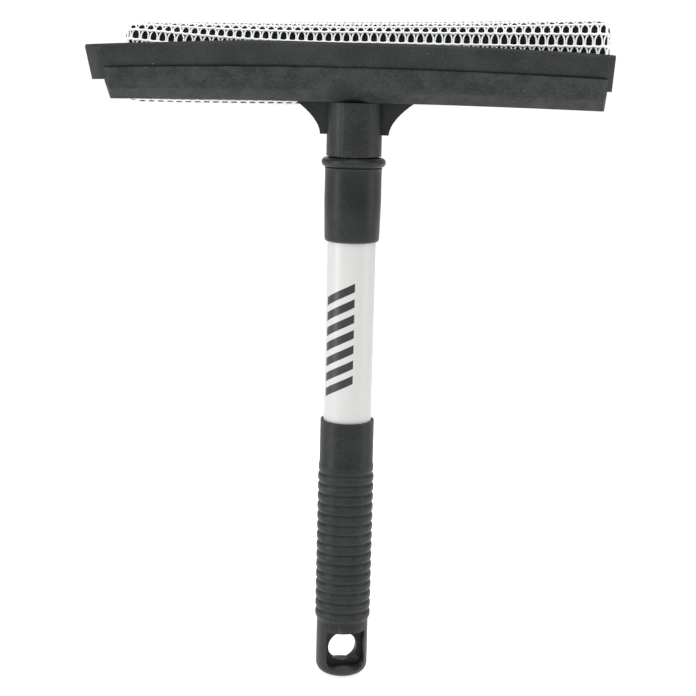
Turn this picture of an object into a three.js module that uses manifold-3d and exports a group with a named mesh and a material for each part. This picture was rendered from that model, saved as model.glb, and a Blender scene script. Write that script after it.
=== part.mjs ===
// Window squeegee: rubber blade in front, net-covered sponge behind, short telescopic handle below.
// Millimetres, +Z up along the handle, +X along the blade, the blade faces -Y and the sponge +Y.
// Heights are measured up from the hang end; the finished group is lowered by HAND_CENTRE, so that
// the origin lies on the handle's axis at the middle of the ribbed grip.

import * as THREE from 'three';
import { mergeVertices } from 'three/addons/utils/BufferGeometryUtils.js';
import Module from 'manifold-3d';

const wasm = await Module();
wasm.setup();

// ---------------------------------------------------------------- driving dimensions
const GAP = 0.3;                    // clearance left between pieces that touch
const BITE = 0.5;                   // how far solids that are joined run into each other
const OVERRUN = 1;                  // how far a cutter runs past what it cuts
const ROUND = 40;                   // sides of the handle's round pieces
const GRIP_ROUND = 32;              // sides of the grip, which has many ribs
const SMALL_ROUND = 16;             // sides of pins, pegs and screws

const HAND_CENTRE = 65;             // height of the middle of the ribbed zone
const TUBE_RADIUS = 11;             // outer tube, a standard 22 mm handle tube
const TUBE_WALL = 0.8;
const INNER_TUBE_RADIUS = 9;
const INNER_TUBE_WALL = 0.6;

const GRIP_TOP = 122.9;
const GRIP_FLOOR = 27.5;            // bottom of the bore that the tube is pushed into
const GRIP_END_RADIUS = 12.1;
const GRIP_SLEEVE_RADIUS = 12.4;
const GRIP_FOOT_RADIUS = 7.5;       // flat middle of the rounded end
const GRIP_END_ROUNDING = 4.6;
const RIB_COUNT = 16;
const RIB_FIRST = 29.3;             // height of the lowest rib
const RIB_PITCH = 4.73;
const RIB_RADIUS = 13;
const RIB_GROOVE_RADIUS = 12.38;
const RIB_RUN_OUT = 0.8;            // share of a pitch below the lowest rib where the plain end starts

const POCKET_TURN = THREE.MathUtils.degToRad(18);   // the hang end stands turned against the head
const POCKET_WIDTH = 18;
const POCKET_LOW = 3.5;               // floor of the front pocket
const REAR_POCKET_LOW = 2.3;
const POCKET_HIGH = 22.1;
const POCKET_CORNER = 4.5;
const HANG_WEB = 4;                 // thickness of the wall left between the two pockets
const HANG_HOLE_RADIUS = 6.85;
const HANG_HOLE_HEIGHT = 12.3;

const COLLAR_BOTTOM = 205.2;
const COLLAR_TOP = 242.8;
const COLLAR_RADIUS = 12.7;
const COLLAR_WIDEST = 224;          // height where the collar is widest
const COLLAR_SWELL = 0.1;
const EDGE = 0.5;                   // small edge breaks on collar and bead
const BEAD_BOTTOM = 238.7;
const BEAD_RADIUS = 14.4;
const TUBE_BOTTOM = 28.3;
const TUBE_TOP = 240.5;
const BUSH_BOTTOM = 197.5;
const BUSH_CLEARANCE = 0.15;        // the bush runs this close to the inner tube
const PRESS_CLEARANCE = 0.25;       // bush, plug and sleeve inside their tubes

const INNER_TUBE_BOTTOM = 66;
const INNER_TUBE_TOP = 261;
const SPINDLE_RADIUS = 3;
const SPINDLE_BOTTOM = 34.5;
const SPINDLE_TOP = 75.7;
const PLUG_TOP = 84;
const CLIP_HEIGHT = 36;
const CLIP = { inner: 2.4, outer: 5, thickness: 0.8, slot: 2.8 };
const NECK = { radius: 2.1, height: 1.4 };          // groove of the spindle that holds the clip
const SLEEVE_BOTTOM = 42;
const SLEEVE_TOP = 59.5;
const SLEEVE_SLOT = 2.6;
const SLEEVE_TO_PLUG = 0.5;
const CONE_BOTTOM = 41.5;
const CONE_TOP = 54;
const CONE = { foot: 7.9, head: 5.5, clearance: 0.2, keyInner: 4.5, keyOuter: 9.2, keyDrop: 2 };
const SLEEVE_BORE = { foot: 8.2, head: 5.9, step: 5.4, neck: 3.6, neckLength: 2 };

const SOCKET_RADIUS = 12.35;
const SOCKET_BOTTOM = 243.4;
const SOCKET_TOP = 266.8;           // front rim, just under the clamp strip
const SOCKET_FRONT = -7.4;          // the socket's front rim is cut down ahead of this
const SOCKET_SCREW_HEIGHT = 250.5;
const SOCKET_SCREW_TIP = 6.4;
const SOCKET_SCREW_SEAT = 1.2;      // how far its head is sunk into the socket
const GUSSET_BOTTOM = 252.8;
const GUSSET_INNER = 15.3;          // half spread of the gussets at their foot
const GUSSET_OUTER = 26.8;          // and where they meet the holder
const GUSSET_THICKNESS = 2.4;
const GUSSET_CURVE = 1.8;           // exponent of the hollow outline

const HOLDER_LENGTH = 217.6;
const HOLDER_BOTTOM = 267.1;        // at mid length; the ends droop
const CLAMP_FOOT = 10;              // how far forward the clamp strip's lower edge stands
const CLAMP_CREASE = { forward: 16.3, height: 272.1 };
const CLAMP_EDGE = { forward: 23.1, height: 281.5 };
const CLAMP_TOP = 282.2;
const DROOP_AT_BOTTOM = 1.08;       // how far the holder's ends hang below its middle
const DROOP_PER_HEIGHT = 0.079;     // and how much more each millimetre further up
const BLADE_LENGTH = 225.2;
const BLADE_SHIFT = -1.8;           // the rubber sits a little to one side in its holder
const BLADE_WIDTH = 19.1;
const BLADE_THICKNESS = 2;
const BLADE_LEAN = THREE.MathUtils.degToRad(37);
const LIP = { forward: 28.8, height: 291.5 };       // front edge of the wiping lip, mid length
const LIP_TO_JAW = 10.5;            // rubber left free behind, from its edge down to the rear jaw
const SLOT_DEPTH = 19.5;            // from the lip down to the shelf under the rubber
const REAR_JAW_THICKNESS = 2;
const JAW_END_INSET = 1;            // the rear jaw is this much shorter at each end
const BOW_START = 3;                // forward of this distance the holder is bowed
const FLOOR_BOTTOM = 267.4;
const FLOOR_TOP = 270;
const BACK_PLATE = { front: 1, rear: 3, top: 288 };
const PEG_POSITIONS = [-90, -30, 30, 90];
const PEG_FROM_LIP = 15;
const PEG_RADIUS = 1.5;
const PEG_HEAD_RADIUS = 2.4;
const PEG_HEAD = 1;                 // thickness of the peg heads behind the rear jaw
const LENGTH_STEPS = 16;            // slices along the holder that follow its bow

const SPONGE_CENTRE_X = 3.4;
const NET_LENGTH = 210.2;
const NET = { front: 3.3, rear: 34.5, bottom: 264.4, top: 301.5, wall: 1, rounding: 7 };
const SPONGE_PLATE = { thickness: 2, bottom: 271.4, top: 287, endMargin: 10 };
const SEAM_THICKNESS = 1.5;
const SEAM_INSET = 2;
const HEAD_TO_NET = 0.2;            // between the head and the net's front
const CORE_END_INSET = 0.2;         // the sponge is this much shorter than its net at each end
const PAD_SCREW_POSITIONS = [-80, 0, 80];
const PAD_SCREW_HEIGHT = 279;
const SCREW_RADIUS = 1.3;
const SCREW_HOLE_RADIUS = 1.7;
const SCREW_HEAD_RADIUS = 3;
const SCREW_HEAD = 1.6;
const SCREW_TIP_SHORT = 0.1;        // a pad screw ends this far inside its plate
const SCREW_HOLE_DEEPER = 0.2;      // and its hole this far past the plate

// ---------------------------------------------------------------- solids and booleans
function toSolid(geometry) {
  const bare = geometry.index ? geometry.toNonIndexed() : geometry.clone();
  bare.deleteAttribute('normal');
  bare.deleteAttribute('uv');
  const merged = mergeVertices(bare, 1e-4);
  const triVerts = [];
  const index = merged.index.array;
  for (let i = 0; i < index.length; i += 3) {
    const [a, b, c] = [index[i], index[i + 1], index[i + 2]];
    if (a !== b && b !== c && c !== a) triVerts.push(a, b, c);
  }
  const vertProperties = new Float32Array(merged.attributes.position.array);
  if (signedVolume(vertProperties, triVerts) < 0) triVerts.reverse();
  return new wasm.Manifold(new wasm.Mesh({
    numProp: 3, vertProperties, triVerts: new Uint32Array(triVerts),
  }));
}

function signedVolume(positions, triangles) {
  const corner = (i) => new THREE.Vector3().fromArray(positions, 3 * triangles[i]);
  let volume = 0;
  for (let i = 0; i < triangles.length; i += 3) {
    volume += corner(i).dot(corner(i + 1).cross(corner(i + 2))) / 6;
  }
  return volume;
}

function toGeometry(solid) {
  const mesh = solid.getMesh();
  const geometry = new THREE.BufferGeometry();
  geometry.setAttribute('position', new THREE.Float32BufferAttribute(mesh.vertProperties, 3));
  geometry.setIndex(new THREE.Uint32BufferAttribute(mesh.triVerts, 1));
  geometry.computeVertexNormals();
  return geometry;
}

function cutAll(solid, tools) {
  return tools.reduce((body, tool) => body.subtract(tool), solid);
}

function joinAll(solids) {
  return solids.reduce((body, piece) => body.add(piece));
}

// ---------------------------------------------------------------- basic shapes
// A profile of [radius, height] pairs turned about the Z axis.
function turned(profile, sides = ROUND) {
  const points = profile.map(([radius, height]) => new THREE.Vector2(radius, height));
  return toSolid(new THREE.LatheGeometry(points, sides).rotateX(Math.PI / 2));
}

function ring(inner, outer, bottom, top, sides = ROUND) {
  return turned([[inner, bottom], [outer, bottom], [outer, top], [inner, top], [inner, bottom]], sides);
}

function rod(radius, bottom, top, sides = SMALL_ROUND) {
  return turned([[0, bottom], [radius, bottom], [radius, top], [0, top]], sides);
}

function block(x0, x1, y0, y1, z0, z1) {
  const geometry = new THREE.BoxGeometry(x1 - x0, y1 - y0, z1 - z0);
  return toSolid(geometry.translate((x0 + x1) / 2, (y0 + y1) / 2, (z0 + z1) / 2));
}

// A rod whose axis runs from one point to another.
function rodBetween(start, end, radius) {
  const axis = new THREE.Vector3().subVectors(end, start);
  const geometry = new THREE.CylinderGeometry(radius, radius, axis.length(), SMALL_ROUND);
  geometry.applyQuaternion(new THREE.Quaternion().setFromUnitVectors(
    new THREE.Vector3(0, 1, 0), axis.clone().normalize()));
  const middle = new THREE.Vector3().addVectors(start, end).multiplyScalar(0.5);
  return toSolid(geometry.translate(middle.x, middle.y, middle.z));
}

// A side outline of [forward, height] pairs drawn out along X; forward is towards -Y.
function alongX(outline, length, centre = 0, steps = 1) {
  const shape = new THREE.Shape(outline.map(([forward, height]) => new THREE.Vector2(-forward, height)));
  const geometry = new THREE.ExtrudeGeometry(shape, { depth: length, steps, bevelEnabled: false });
  geometry.applyMatrix4(new THREE.Matrix4().makeBasis(
    new THREE.Vector3(0, 1, 0), new THREE.Vector3(0, 0, 1), new THREE.Vector3(1, 0, 0)));
  return geometry.translate(centre - length / 2, 0, 0);
}

// ---------------------------------------------------------------- the bowed blade holder
// How far a point of the holder lies below where it would be at mid length.
function droop(x, height) {
  const share = x / (HOLDER_LENGTH / 2);
  return (DROOP_AT_BOTTOM + DROOP_PER_HEIGHT * (height - HOLDER_BOTTOM)) * share * share;
}

// Bends a geometry to the holder's bow; points behind the handle's axis stay straight.
function bowed(geometry) {
  const position = geometry.attributes.position;
  for (let i = 0; i < position.count; i += 1) {
    if (position.getY(i) < -BOW_START) {
      position.setZ(i, position.getZ(i) - droop(position.getX(i), position.getZ(i)));
    }
  }
  return geometry;
}

// A point of the blade's section: down from the lip along the rubber, and out in front of its face.
function bladePoint(down, out) {
  return [
    LIP.forward - down * Math.sin(BLADE_LEAN) + out * Math.cos(BLADE_LEAN),
    LIP.height - down * Math.cos(BLADE_LEAN) - out * Math.sin(BLADE_LEAN),
  ];
}

// The same line followed down to a given height.
function bladePointAtHeight(height, out) {
  const down = (LIP.height - out * Math.sin(BLADE_LEAN) - height) / Math.cos(BLADE_LEAN);
  return bladePoint(down, out);
}

// The peg line through jaw, rubber and rear jaw at one place along the holder.
function pegRod(x, radius, outStart, outEnd) {
  const point = (out) => {
    const [forward, height] = bladePoint(PEG_FROM_LIP, out);
    return new THREE.Vector3(x, -forward, height - droop(x, height));
  };
  return rodBetween(point(outStart), point(outEnd), radius);
}

const REAR_JAW_FRONT = -(BLADE_THICKNESS + GAP);
const REAR_JAW_BACK = REAR_JAW_FRONT - REAR_JAW_THICKNESS;

function pegHoles() {
  return PEG_POSITIONS.map((x) => pegRod(x, PEG_RADIUS + GAP, GAP / 2, REAR_JAW_BACK - PEG_HEAD));
}

function bladeClamp() {
  const outline = [
    [CLAMP_FOOT, HOLDER_BOTTOM], [CLAMP_CREASE.forward, CLAMP_CREASE.height],
    [CLAMP_EDGE.forward, CLAMP_EDGE.height], bladePointAtHeight(CLAMP_TOP, GAP),
    bladePoint(SLOT_DEPTH, GAP),
    bladePoint(SLOT_DEPTH, -BLADE_THICKNESS),
    bladePointAtHeight(HOLDER_BOTTOM, -BLADE_THICKNESS),
  ];
  const strip = toSolid(bowed(alongX(outline, HOLDER_LENGTH, 0, LENGTH_STEPS)));
  const pegs = PEG_POSITIONS.map((x) => pegRod(x, PEG_RADIUS, GAP + PEG_HEAD / 2, REAR_JAW_BACK - PEG_HEAD));
  const heads = PEG_POSITIONS.map((x) => pegRod(x, PEG_HEAD_RADIUS,
    REAR_JAW_BACK - GAP, REAR_JAW_BACK - GAP - PEG_HEAD));
  return joinAll([strip, ...pegs, ...heads]);
}

function rubberBlade() {
  const outline = [
    bladePoint(0, 0), bladePoint(0, -BLADE_THICKNESS),
    bladePoint(BLADE_WIDTH, -BLADE_THICKNESS), bladePoint(BLADE_WIDTH, 0),
  ];
  const strip = toSolid(bowed(alongX(outline, BLADE_LENGTH, BLADE_SHIFT, LENGTH_STEPS)));
  return cutAll(strip, pegHoles());
}

function gussets() {
  const shape = new THREE.Shape();
  const steps = 8;
  shape.moveTo(-GUSSET_OUTER, FLOOR_TOP - BITE);
  for (let i = steps; i >= 0; i -= 1) shape.lineTo(...gussetEdge(i / steps, -1));
  for (let i = 0; i <= steps; i += 1) shape.lineTo(...gussetEdge(i / steps, 1));
  shape.lineTo(GUSSET_OUTER, FLOOR_TOP - BITE);
  const geometry = new THREE.ExtrudeGeometry(shape, { depth: GUSSET_THICKNESS, bevelEnabled: false });
  return toSolid(geometry.rotateX(Math.PI / 2).translate(0, GUSSET_THICKNESS / 2, 0));
}

function gussetEdge(share, side) {
  const spread = GUSSET_INNER + (GUSSET_OUTER - GUSSET_INNER) * share ** GUSSET_CURVE;
  return [side * spread, GUSSET_BOTTOM + (FLOOR_BOTTOM - GUSSET_BOTTOM) * share];
}

function headBody() {
  const outline = [
    bladePointAtHeight(FLOOR_BOTTOM, REAR_JAW_FRONT),
    bladePoint(LIP_TO_JAW, REAR_JAW_FRONT),
    bladePoint(LIP_TO_JAW, REAR_JAW_BACK),
    bladePointAtHeight(FLOOR_TOP, REAR_JAW_BACK),
    [-BACK_PLATE.front, FLOOR_TOP], [-BACK_PLATE.front, BACK_PLATE.top],
    [-BACK_PLATE.rear, BACK_PLATE.top], [-BACK_PLATE.rear, FLOOR_BOTTOM],
  ];
  const rail = toSolid(bowed(alongX(outline, HOLDER_LENGTH - 2 * JAW_END_INSET, 0, LENGTH_STEPS)));
  const socket = rod(SOCKET_RADIUS, SOCKET_BOTTOM, FLOOR_TOP - BITE, ROUND);
  const aside = 2 * SOCKET_RADIUS;
  const clampSpace = block(-aside, aside, -aside, SOCKET_FRONT, SOCKET_TOP, FLOOR_TOP);
  const bore = rod(INNER_TUBE_RADIUS + GAP, SOCKET_BOTTOM - GAP, INNER_TUBE_TOP + GAP, ROUND);
  const spongeSpace = block(-aside, aside, NET.front - HEAD_TO_NET, aside,
    NET.bottom - GAP, NET.top);
  const screwHoles = padScrewPlaces().map(([x, height]) => rodBetween(
    new THREE.Vector3(x, 0, height), new THREE.Vector3(x, BACK_PLATE.rear + OVERRUN, height),
    SCREW_HOLE_RADIUS));
  return cutAll(
    joinAll([rail, socket.subtract(clampSpace), gussets()]),
    [bore, spongeSpace, socketScrewTool(GAP), ...screwHoles, ...pegHoles()],
  );
}

// The screw that pins the socket to the inner tube, or with a clearance the hole cut for it.
function socketScrewTool(clearance) {
  const seat = SOCKET_RADIUS - SOCKET_SCREW_SEAT;
  const at = (y) => new THREE.Vector3(0, y, SOCKET_SCREW_HEIGHT);
  const shank = rodBetween(at(SOCKET_SCREW_TIP - clearance), at(seat + BITE), SCREW_RADIUS + clearance);
  const head = rodBetween(at(seat - clearance), at(seat + SCREW_HEAD + clearance),
    SCREW_HEAD_RADIUS + clearance);
  return shank.add(head);
}

// ---------------------------------------------------------------- the sponge pad
const PLATE_REAR = NET.front + NET.wall + GAP + SPONGE_PLATE.thickness;

function padScrewPlaces() {
  return PAD_SCREW_POSITIONS.map((x) => [x + SPONGE_CENTRE_X, PAD_SCREW_HEIGHT]);
}

function padScrew(x, height) {
  const at = (y) => new THREE.Vector3(x, y, height);
  const headRear = BACK_PLATE.front - GAP;
  return rodBetween(at(headRear - BITE), at(PLATE_REAR - SCREW_TIP_SHORT), SCREW_RADIUS)
    .add(rodBetween(at(headRear - SCREW_HEAD), at(headRear), SCREW_HEAD_RADIUS));
}

function padScrewHoles() {
  return padScrewPlaces().map(([x, height]) => rodBetween(
    new THREE.Vector3(x, NET.front - OVERRUN, height),
    new THREE.Vector3(x, PLATE_REAR + SCREW_HOLE_DEEPER, height),
    SCREW_HOLE_RADIUS));
}

// A rounded rectangle in the side view, inset from the net's outside.
function padShape(frontInset, inset) {
  const [front, rear] = [NET.front + frontInset, NET.rear - inset];
  const [bottom, top] = [NET.bottom + inset, NET.top - inset];
  const radius = NET.rounding - inset;
  const shape = new THREE.Shape();
  shape.moveTo(front + radius, bottom);
  shape.lineTo(rear - radius, bottom);
  shape.absarc(rear - radius, bottom + radius, radius, -Math.PI / 2, 0, false);
  shape.lineTo(rear, top - radius);
  shape.absarc(rear - radius, top - radius, radius, 0, Math.PI / 2, false);
  shape.lineTo(front + radius, top);
  shape.absarc(front + radius, top - radius, radius, Math.PI / 2, Math.PI, false);
  shape.lineTo(front, bottom + radius);
  shape.absarc(front + radius, bottom + radius, radius, Math.PI, 1.5 * Math.PI, false);
  return shape;
}

function padBody(frontInset, inset, length, centre = SPONGE_CENTRE_X) {
  const geometry = new THREE.ExtrudeGeometry(padShape(frontInset, inset),
    { depth: length, curveSegments: 5, bevelEnabled: false });
  geometry.applyMatrix4(new THREE.Matrix4().makeBasis(
    new THREE.Vector3(0, 1, 0), new THREE.Vector3(0, 0, 1), new THREE.Vector3(1, 0, 0)));
  return toSolid(geometry.translate(centre - length / 2, 0, 0));
}

function netSleeve() {
  const outside = padBody(0, 0, NET_LENGTH);
  const inside = padBody(NET.wall, NET.wall, NET_LENGTH + 2 * OVERRUN);
  return cutAll(outside.subtract(inside), padScrewHoles());
}

function spongeCore() {
  const frontInset = PLATE_REAR + GAP - NET.front;
  return padBody(frontInset, NET.wall + GAP, NET_LENGTH - 2 * CORE_END_INSET);
}

function spongePlate() {
  const front = NET.front + NET.wall + GAP;
  const half = NET_LENGTH / 2 - SPONGE_PLATE.endMargin;
  const plate = block(SPONGE_CENTRE_X - half, SPONGE_CENTRE_X + half,
    front, front + SPONGE_PLATE.thickness, SPONGE_PLATE.bottom, SPONGE_PLATE.top);
  return cutAll(plate, padScrewHoles());
}

function netSeam(side) {
  const centre = SPONGE_CENTRE_X + side * (NET_LENGTH / 2 + GAP + SEAM_THICKNESS / 2);
  return padBody(SEAM_INSET, SEAM_INSET, SEAM_THICKNESS, centre);
}

// ---------------------------------------------------------------- the handle
function gripProfile() {
  const profile = [[0, 0], [GRIP_FOOT_RADIUS, 0]];
  const steps = 4;
  for (let i = 1; i <= steps; i += 1) {
    const angle = (i / steps) * (Math.PI / 2);
    profile.push([
      GRIP_FOOT_RADIUS + (GRIP_END_RADIUS - GRIP_FOOT_RADIUS) * Math.sin(angle),
      GRIP_END_ROUNDING * (1 - Math.cos(angle)),
    ]);
  }
  profile.push([GRIP_END_RADIUS, RIB_FIRST - RIB_RUN_OUT * RIB_PITCH]);
  for (let rib = 0; rib < RIB_COUNT; rib += 1) {
    const height = RIB_FIRST + rib * RIB_PITCH;
    profile.push([RIB_GROOVE_RADIUS, height - RIB_PITCH / 2], [RIB_RADIUS, height]);
  }
  const ribTop = RIB_FIRST + (RIB_COUNT - 0.5) * RIB_PITCH;
  profile.push([GRIP_SLEEVE_RADIUS, ribTop], [GRIP_SLEEVE_RADIUS, GRIP_TOP]);
  profile.push([TUBE_RADIUS + GAP, GRIP_TOP], [TUBE_RADIUS + GAP, GRIP_FLOOR], [0, GRIP_FLOOR]);
  return profile;
}

// One hang pocket, opening towards -Y, with round lower corners and square upper ones.
function hangPocket(low) {
  const half = POCKET_WIDTH / 2;
  const shape = new THREE.Shape();
  shape.moveTo(-half, POCKET_HIGH);
  shape.lineTo(-half, low + POCKET_CORNER);
  shape.absarc(-half + POCKET_CORNER, low + POCKET_CORNER, POCKET_CORNER,
    Math.PI, 1.5 * Math.PI, false);
  shape.absarc(half - POCKET_CORNER, low + POCKET_CORNER, POCKET_CORNER,
    1.5 * Math.PI, 2 * Math.PI, false);
  shape.lineTo(half, POCKET_HIGH);
  const geometry = new THREE.ExtrudeGeometry(shape,
    { depth: GRIP_END_RADIUS + 2 * OVERRUN, curveSegments: 4, bevelEnabled: false });
  return geometry.rotateX(Math.PI / 2).translate(0, -HANG_WEB / 2, 0);
}

function handGrip() {
  const front = toSolid(hangPocket(POCKET_LOW).rotateZ(POCKET_TURN));
  const rear = toSolid(hangPocket(REAR_POCKET_LOW).rotateZ(POCKET_TURN + Math.PI));
  const along = new THREE.Vector3(Math.sin(POCKET_TURN), -Math.cos(POCKET_TURN), 0);
  along.multiplyScalar(HANG_WEB + 2 * OVERRUN);
  const centre = new THREE.Vector3(0, 0, HANG_HOLE_HEIGHT);
  const hole = rodBetween(centre.clone().sub(along), centre.clone().add(along), HANG_HOLE_RADIUS);
  return cutAll(turned(gripProfile(), GRIP_ROUND), [front, rear, hole]);
}

function outerTube() {
  return ring(TUBE_RADIUS - TUBE_WALL, TUBE_RADIUS, TUBE_BOTTOM, TUBE_TOP);
}

// The collar closes over the outer tube's end; its bead is the rim that the fingers pull against.
function outerCollar() {
  const bore = TUBE_RADIUS + GAP;
  const mouth = INNER_TUBE_RADIUS + GAP;
  return turned([
    [bore, COLLAR_BOTTOM], [COLLAR_RADIUS - 2 * EDGE, COLLAR_BOTTOM],
    [COLLAR_RADIUS - EDGE, COLLAR_BOTTOM + 2 * EDGE],
    [COLLAR_RADIUS + COLLAR_SWELL, COLLAR_WIDEST], [COLLAR_RADIUS - COLLAR_SWELL, BEAD_BOTTOM],
    [BEAD_RADIUS - EDGE, BEAD_BOTTOM], [BEAD_RADIUS, BEAD_BOTTOM + 2 * EDGE],
    [BEAD_RADIUS, COLLAR_TOP - 2 * EDGE], [BEAD_RADIUS - EDGE, COLLAR_TOP],
    [mouth, COLLAR_TOP], [mouth, TUBE_TOP + GAP], [bore, TUBE_TOP + GAP], [bore, COLLAR_BOTTOM],
  ]);
}

function guideBush() {
  return ring(INNER_TUBE_RADIUS + BUSH_CLEARANCE, TUBE_RADIUS - TUBE_WALL - PRESS_CLEARANCE,
    BUSH_BOTTOM, TUBE_TOP);
}

// ---------------------------------------------------------------- the twist lock
function innerTube() {
  const tube = ring(INNER_TUBE_RADIUS - INNER_TUBE_WALL, INNER_TUBE_RADIUS,
    INNER_TUBE_BOTTOM, INNER_TUBE_TOP);
  return tube.subtract(socketScrewTool(GAP));
}

function lockPlug() {
  const body = INNER_TUBE_RADIUS - INNER_TUBE_WALL - PRESS_CLEARANCE;
  const foot = SLEEVE_TOP + SLEEVE_TO_PLUG;
  const flangeTop = INNER_TUBE_BOTTOM - GAP;
  const plug = turned([
    [0, foot], [INNER_TUBE_RADIUS, foot], [INNER_TUBE_RADIUS, flangeTop],
    [body, flangeTop], [body, PLUG_TOP], [0, PLUG_TOP],
  ]);
  return plug.subtract(rod(SPINDLE_RADIUS + GAP, SLEEVE_TOP, SPINDLE_TOP + GAP));
}

function lockSpindle() {
  return turned([
    [0, SPINDLE_BOTTOM], [SPINDLE_RADIUS, SPINDLE_BOTTOM], [SPINDLE_RADIUS, CLIP_HEIGHT],
    [NECK.radius, CLIP_HEIGHT], [NECK.radius, CLIP_HEIGHT + NECK.height],
    [SPINDLE_RADIUS, CLIP_HEIGHT + NECK.height],
    [SPINDLE_RADIUS, SPINDLE_TOP], [0, SPINDLE_TOP],
  ], SMALL_ROUND);
}

function spindleClip() {
  const bottom = CLIP_HEIGHT + GAP;
  const clip = ring(CLIP.inner, CLIP.outer, bottom, bottom + CLIP.thickness, SMALL_ROUND);
  return clip.subtract(block(-CLIP.slot / 2, CLIP.slot / 2, 0, 2 * CLIP.outer,
    CLIP_HEIGHT, CLIP_HEIGHT + 2 * CLIP.thickness));
}

// The split sleeve has a cone-shaped bore, narrow at its upper end.
function lockSleeve() {
  const outside = TUBE_RADIUS - TUBE_WALL - PRESS_CLEARANCE;
  const { foot, head, step, neck, neckLength } = SLEEVE_BORE;
  const sleeve = turned([
    [foot, SLEEVE_BOTTOM], [outside, SLEEVE_BOTTOM], [outside, SLEEVE_TOP], [neck, SLEEVE_TOP],
    [neck, SLEEVE_TOP - neckLength], [step, SLEEVE_TOP - neckLength], [head, CONE_TOP],
    [foot, SLEEVE_BOTTOM],
  ]);
  return sleeve.subtract(block(-SLEEVE_SLOT / 2, SLEEVE_SLOT / 2, 0, TUBE_RADIUS,
    SLEEVE_BOTTOM - GAP, SLEEVE_TOP + GAP));
}

function lockCone() {
  const bore = SPINDLE_RADIUS + CONE.clearance;
  const cone = turned([
    [bore, CONE_BOTTOM], [CONE.foot, CONE_BOTTOM], [CONE.head, CONE_TOP],
    [bore, CONE_TOP], [bore, CONE_BOTTOM],
  ]);
  const half = SLEEVE_SLOT / 2 - GAP;
  const key = block(-half, half, CONE.keyInner, CONE.keyOuter, CONE_BOTTOM, CONE_TOP - CONE.keyDrop);
  return cone.add(key);
}

// ---------------------------------------------------------------- materials and the scene graph
function finish(color, roughness, metalness = 0) {
  return () => new THREE.MeshStandardMaterial({ color, roughness, metalness });
}

const blackPlastic = finish(0x3e4041, 0.5);
const softPlastic = finish(0x45474a, 0.6);
const tubeCoat = finish(0xd6d8d8, 0.4, 0.2);
const bareSteel = finish(0xb4b7b9, 0.35, 1);
const zincSteel = finish(0xa8abab, 0.45, 1);
const whitePlastic = finish(0xe4e2dc, 0.5);
const bladeRubber = finish(0x3a3c40, 0.75);
const foam = finish(0x2c2e30, 0.95);
const netThread = finish(0xdcddde, 0.7);

const squeegee = new THREE.Group();
const product = new THREE.Group();
product.position.z = -HAND_CENTRE;
squeegee.add(product);

function place(name, solid, material) {
  const mesh = new THREE.Mesh(toGeometry(solid), material());
  mesh.name = name;
  product.add(mesh);
}

place('hand_grip', handGrip(), softPlastic);
place('outer_tube', outerTube(), tubeCoat);
place('outer_collar', outerCollar(), blackPlastic);
place('guide_bush', guideBush(), whitePlastic);

place('lock_sleeve', lockSleeve(), whitePlastic);
place('lock_cone', lockCone(), blackPlastic);
place('lock_plug', lockPlug(), blackPlastic);
place('lock_spindle', lockSpindle(), zincSteel);
place('spindle_clip', spindleClip(), zincSteel);
place('inner_tube', innerTube(), bareSteel);

place('head_body', headBody(), blackPlastic);
place('socket_screw', socketScrewTool(0), zincSteel);
place('blade_clamp', bladeClamp(), blackPlastic);
place('rubber_blade', rubberBlade(), bladeRubber);

place('sponge_plate', spongePlate(), blackPlastic);
padScrewPlaces().forEach(([x, height], i) => place(`pad_screw_${i + 1}`, padScrew(x, height), zincSteel));
place('sponge_core', spongeCore(), foam);
place('net_sleeve', netSleeve(), netThread);
place('net_seam_left', netSeam(-1), netThread);
place('net_seam_right', netSeam(1), netThread);

export default squeegee;
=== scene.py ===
"""Window squeegee: a rubber blade in a leaning holder, a netted sponge pad and a telescopic handle.

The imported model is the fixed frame. Every piece made here is in metres, in that frame, and rides on one of
its bodies. Heights called "up" are millimetres above the hang end, which is where the handle starts.
"""
import logging
import math
from collections.abc import Iterator, Sequence
from contextlib import contextmanager
from dataclasses import dataclass
from enum import Enum

import bmesh
import bpy
import numpy as np
from mathutils import Matrix, Vector
from mathutils.bvhtree import BVHTree


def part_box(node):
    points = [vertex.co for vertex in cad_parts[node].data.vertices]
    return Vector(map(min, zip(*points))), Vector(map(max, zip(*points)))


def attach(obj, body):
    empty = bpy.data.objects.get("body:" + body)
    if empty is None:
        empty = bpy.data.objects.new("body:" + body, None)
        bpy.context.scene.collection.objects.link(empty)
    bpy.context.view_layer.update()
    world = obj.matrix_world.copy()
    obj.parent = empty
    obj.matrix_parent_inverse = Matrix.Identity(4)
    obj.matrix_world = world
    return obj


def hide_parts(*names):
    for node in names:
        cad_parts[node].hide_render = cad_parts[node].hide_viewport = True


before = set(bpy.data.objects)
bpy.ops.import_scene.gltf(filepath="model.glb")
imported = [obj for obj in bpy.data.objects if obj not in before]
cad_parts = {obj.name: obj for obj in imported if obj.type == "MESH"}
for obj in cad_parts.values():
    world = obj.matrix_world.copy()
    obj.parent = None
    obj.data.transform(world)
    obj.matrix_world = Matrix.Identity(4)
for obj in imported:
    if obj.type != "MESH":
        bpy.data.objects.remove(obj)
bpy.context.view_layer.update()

MM = 0.001
TINY = 1e-12                         # keeps the length that a direction is divided by above nought
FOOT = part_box("hand_grip")[0].z      # height of the hang end, in metres
TUBE_RADIUS = 11.0                   # these four are in millimetres
TUBE_WALL = 0.8
INNER_TUBE_RADIUS = 9.0
FIT = 0.3                            # clearance between pieces that touch
Point2 = tuple[float, float]
log = logging.getLogger("squeegee")


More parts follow.
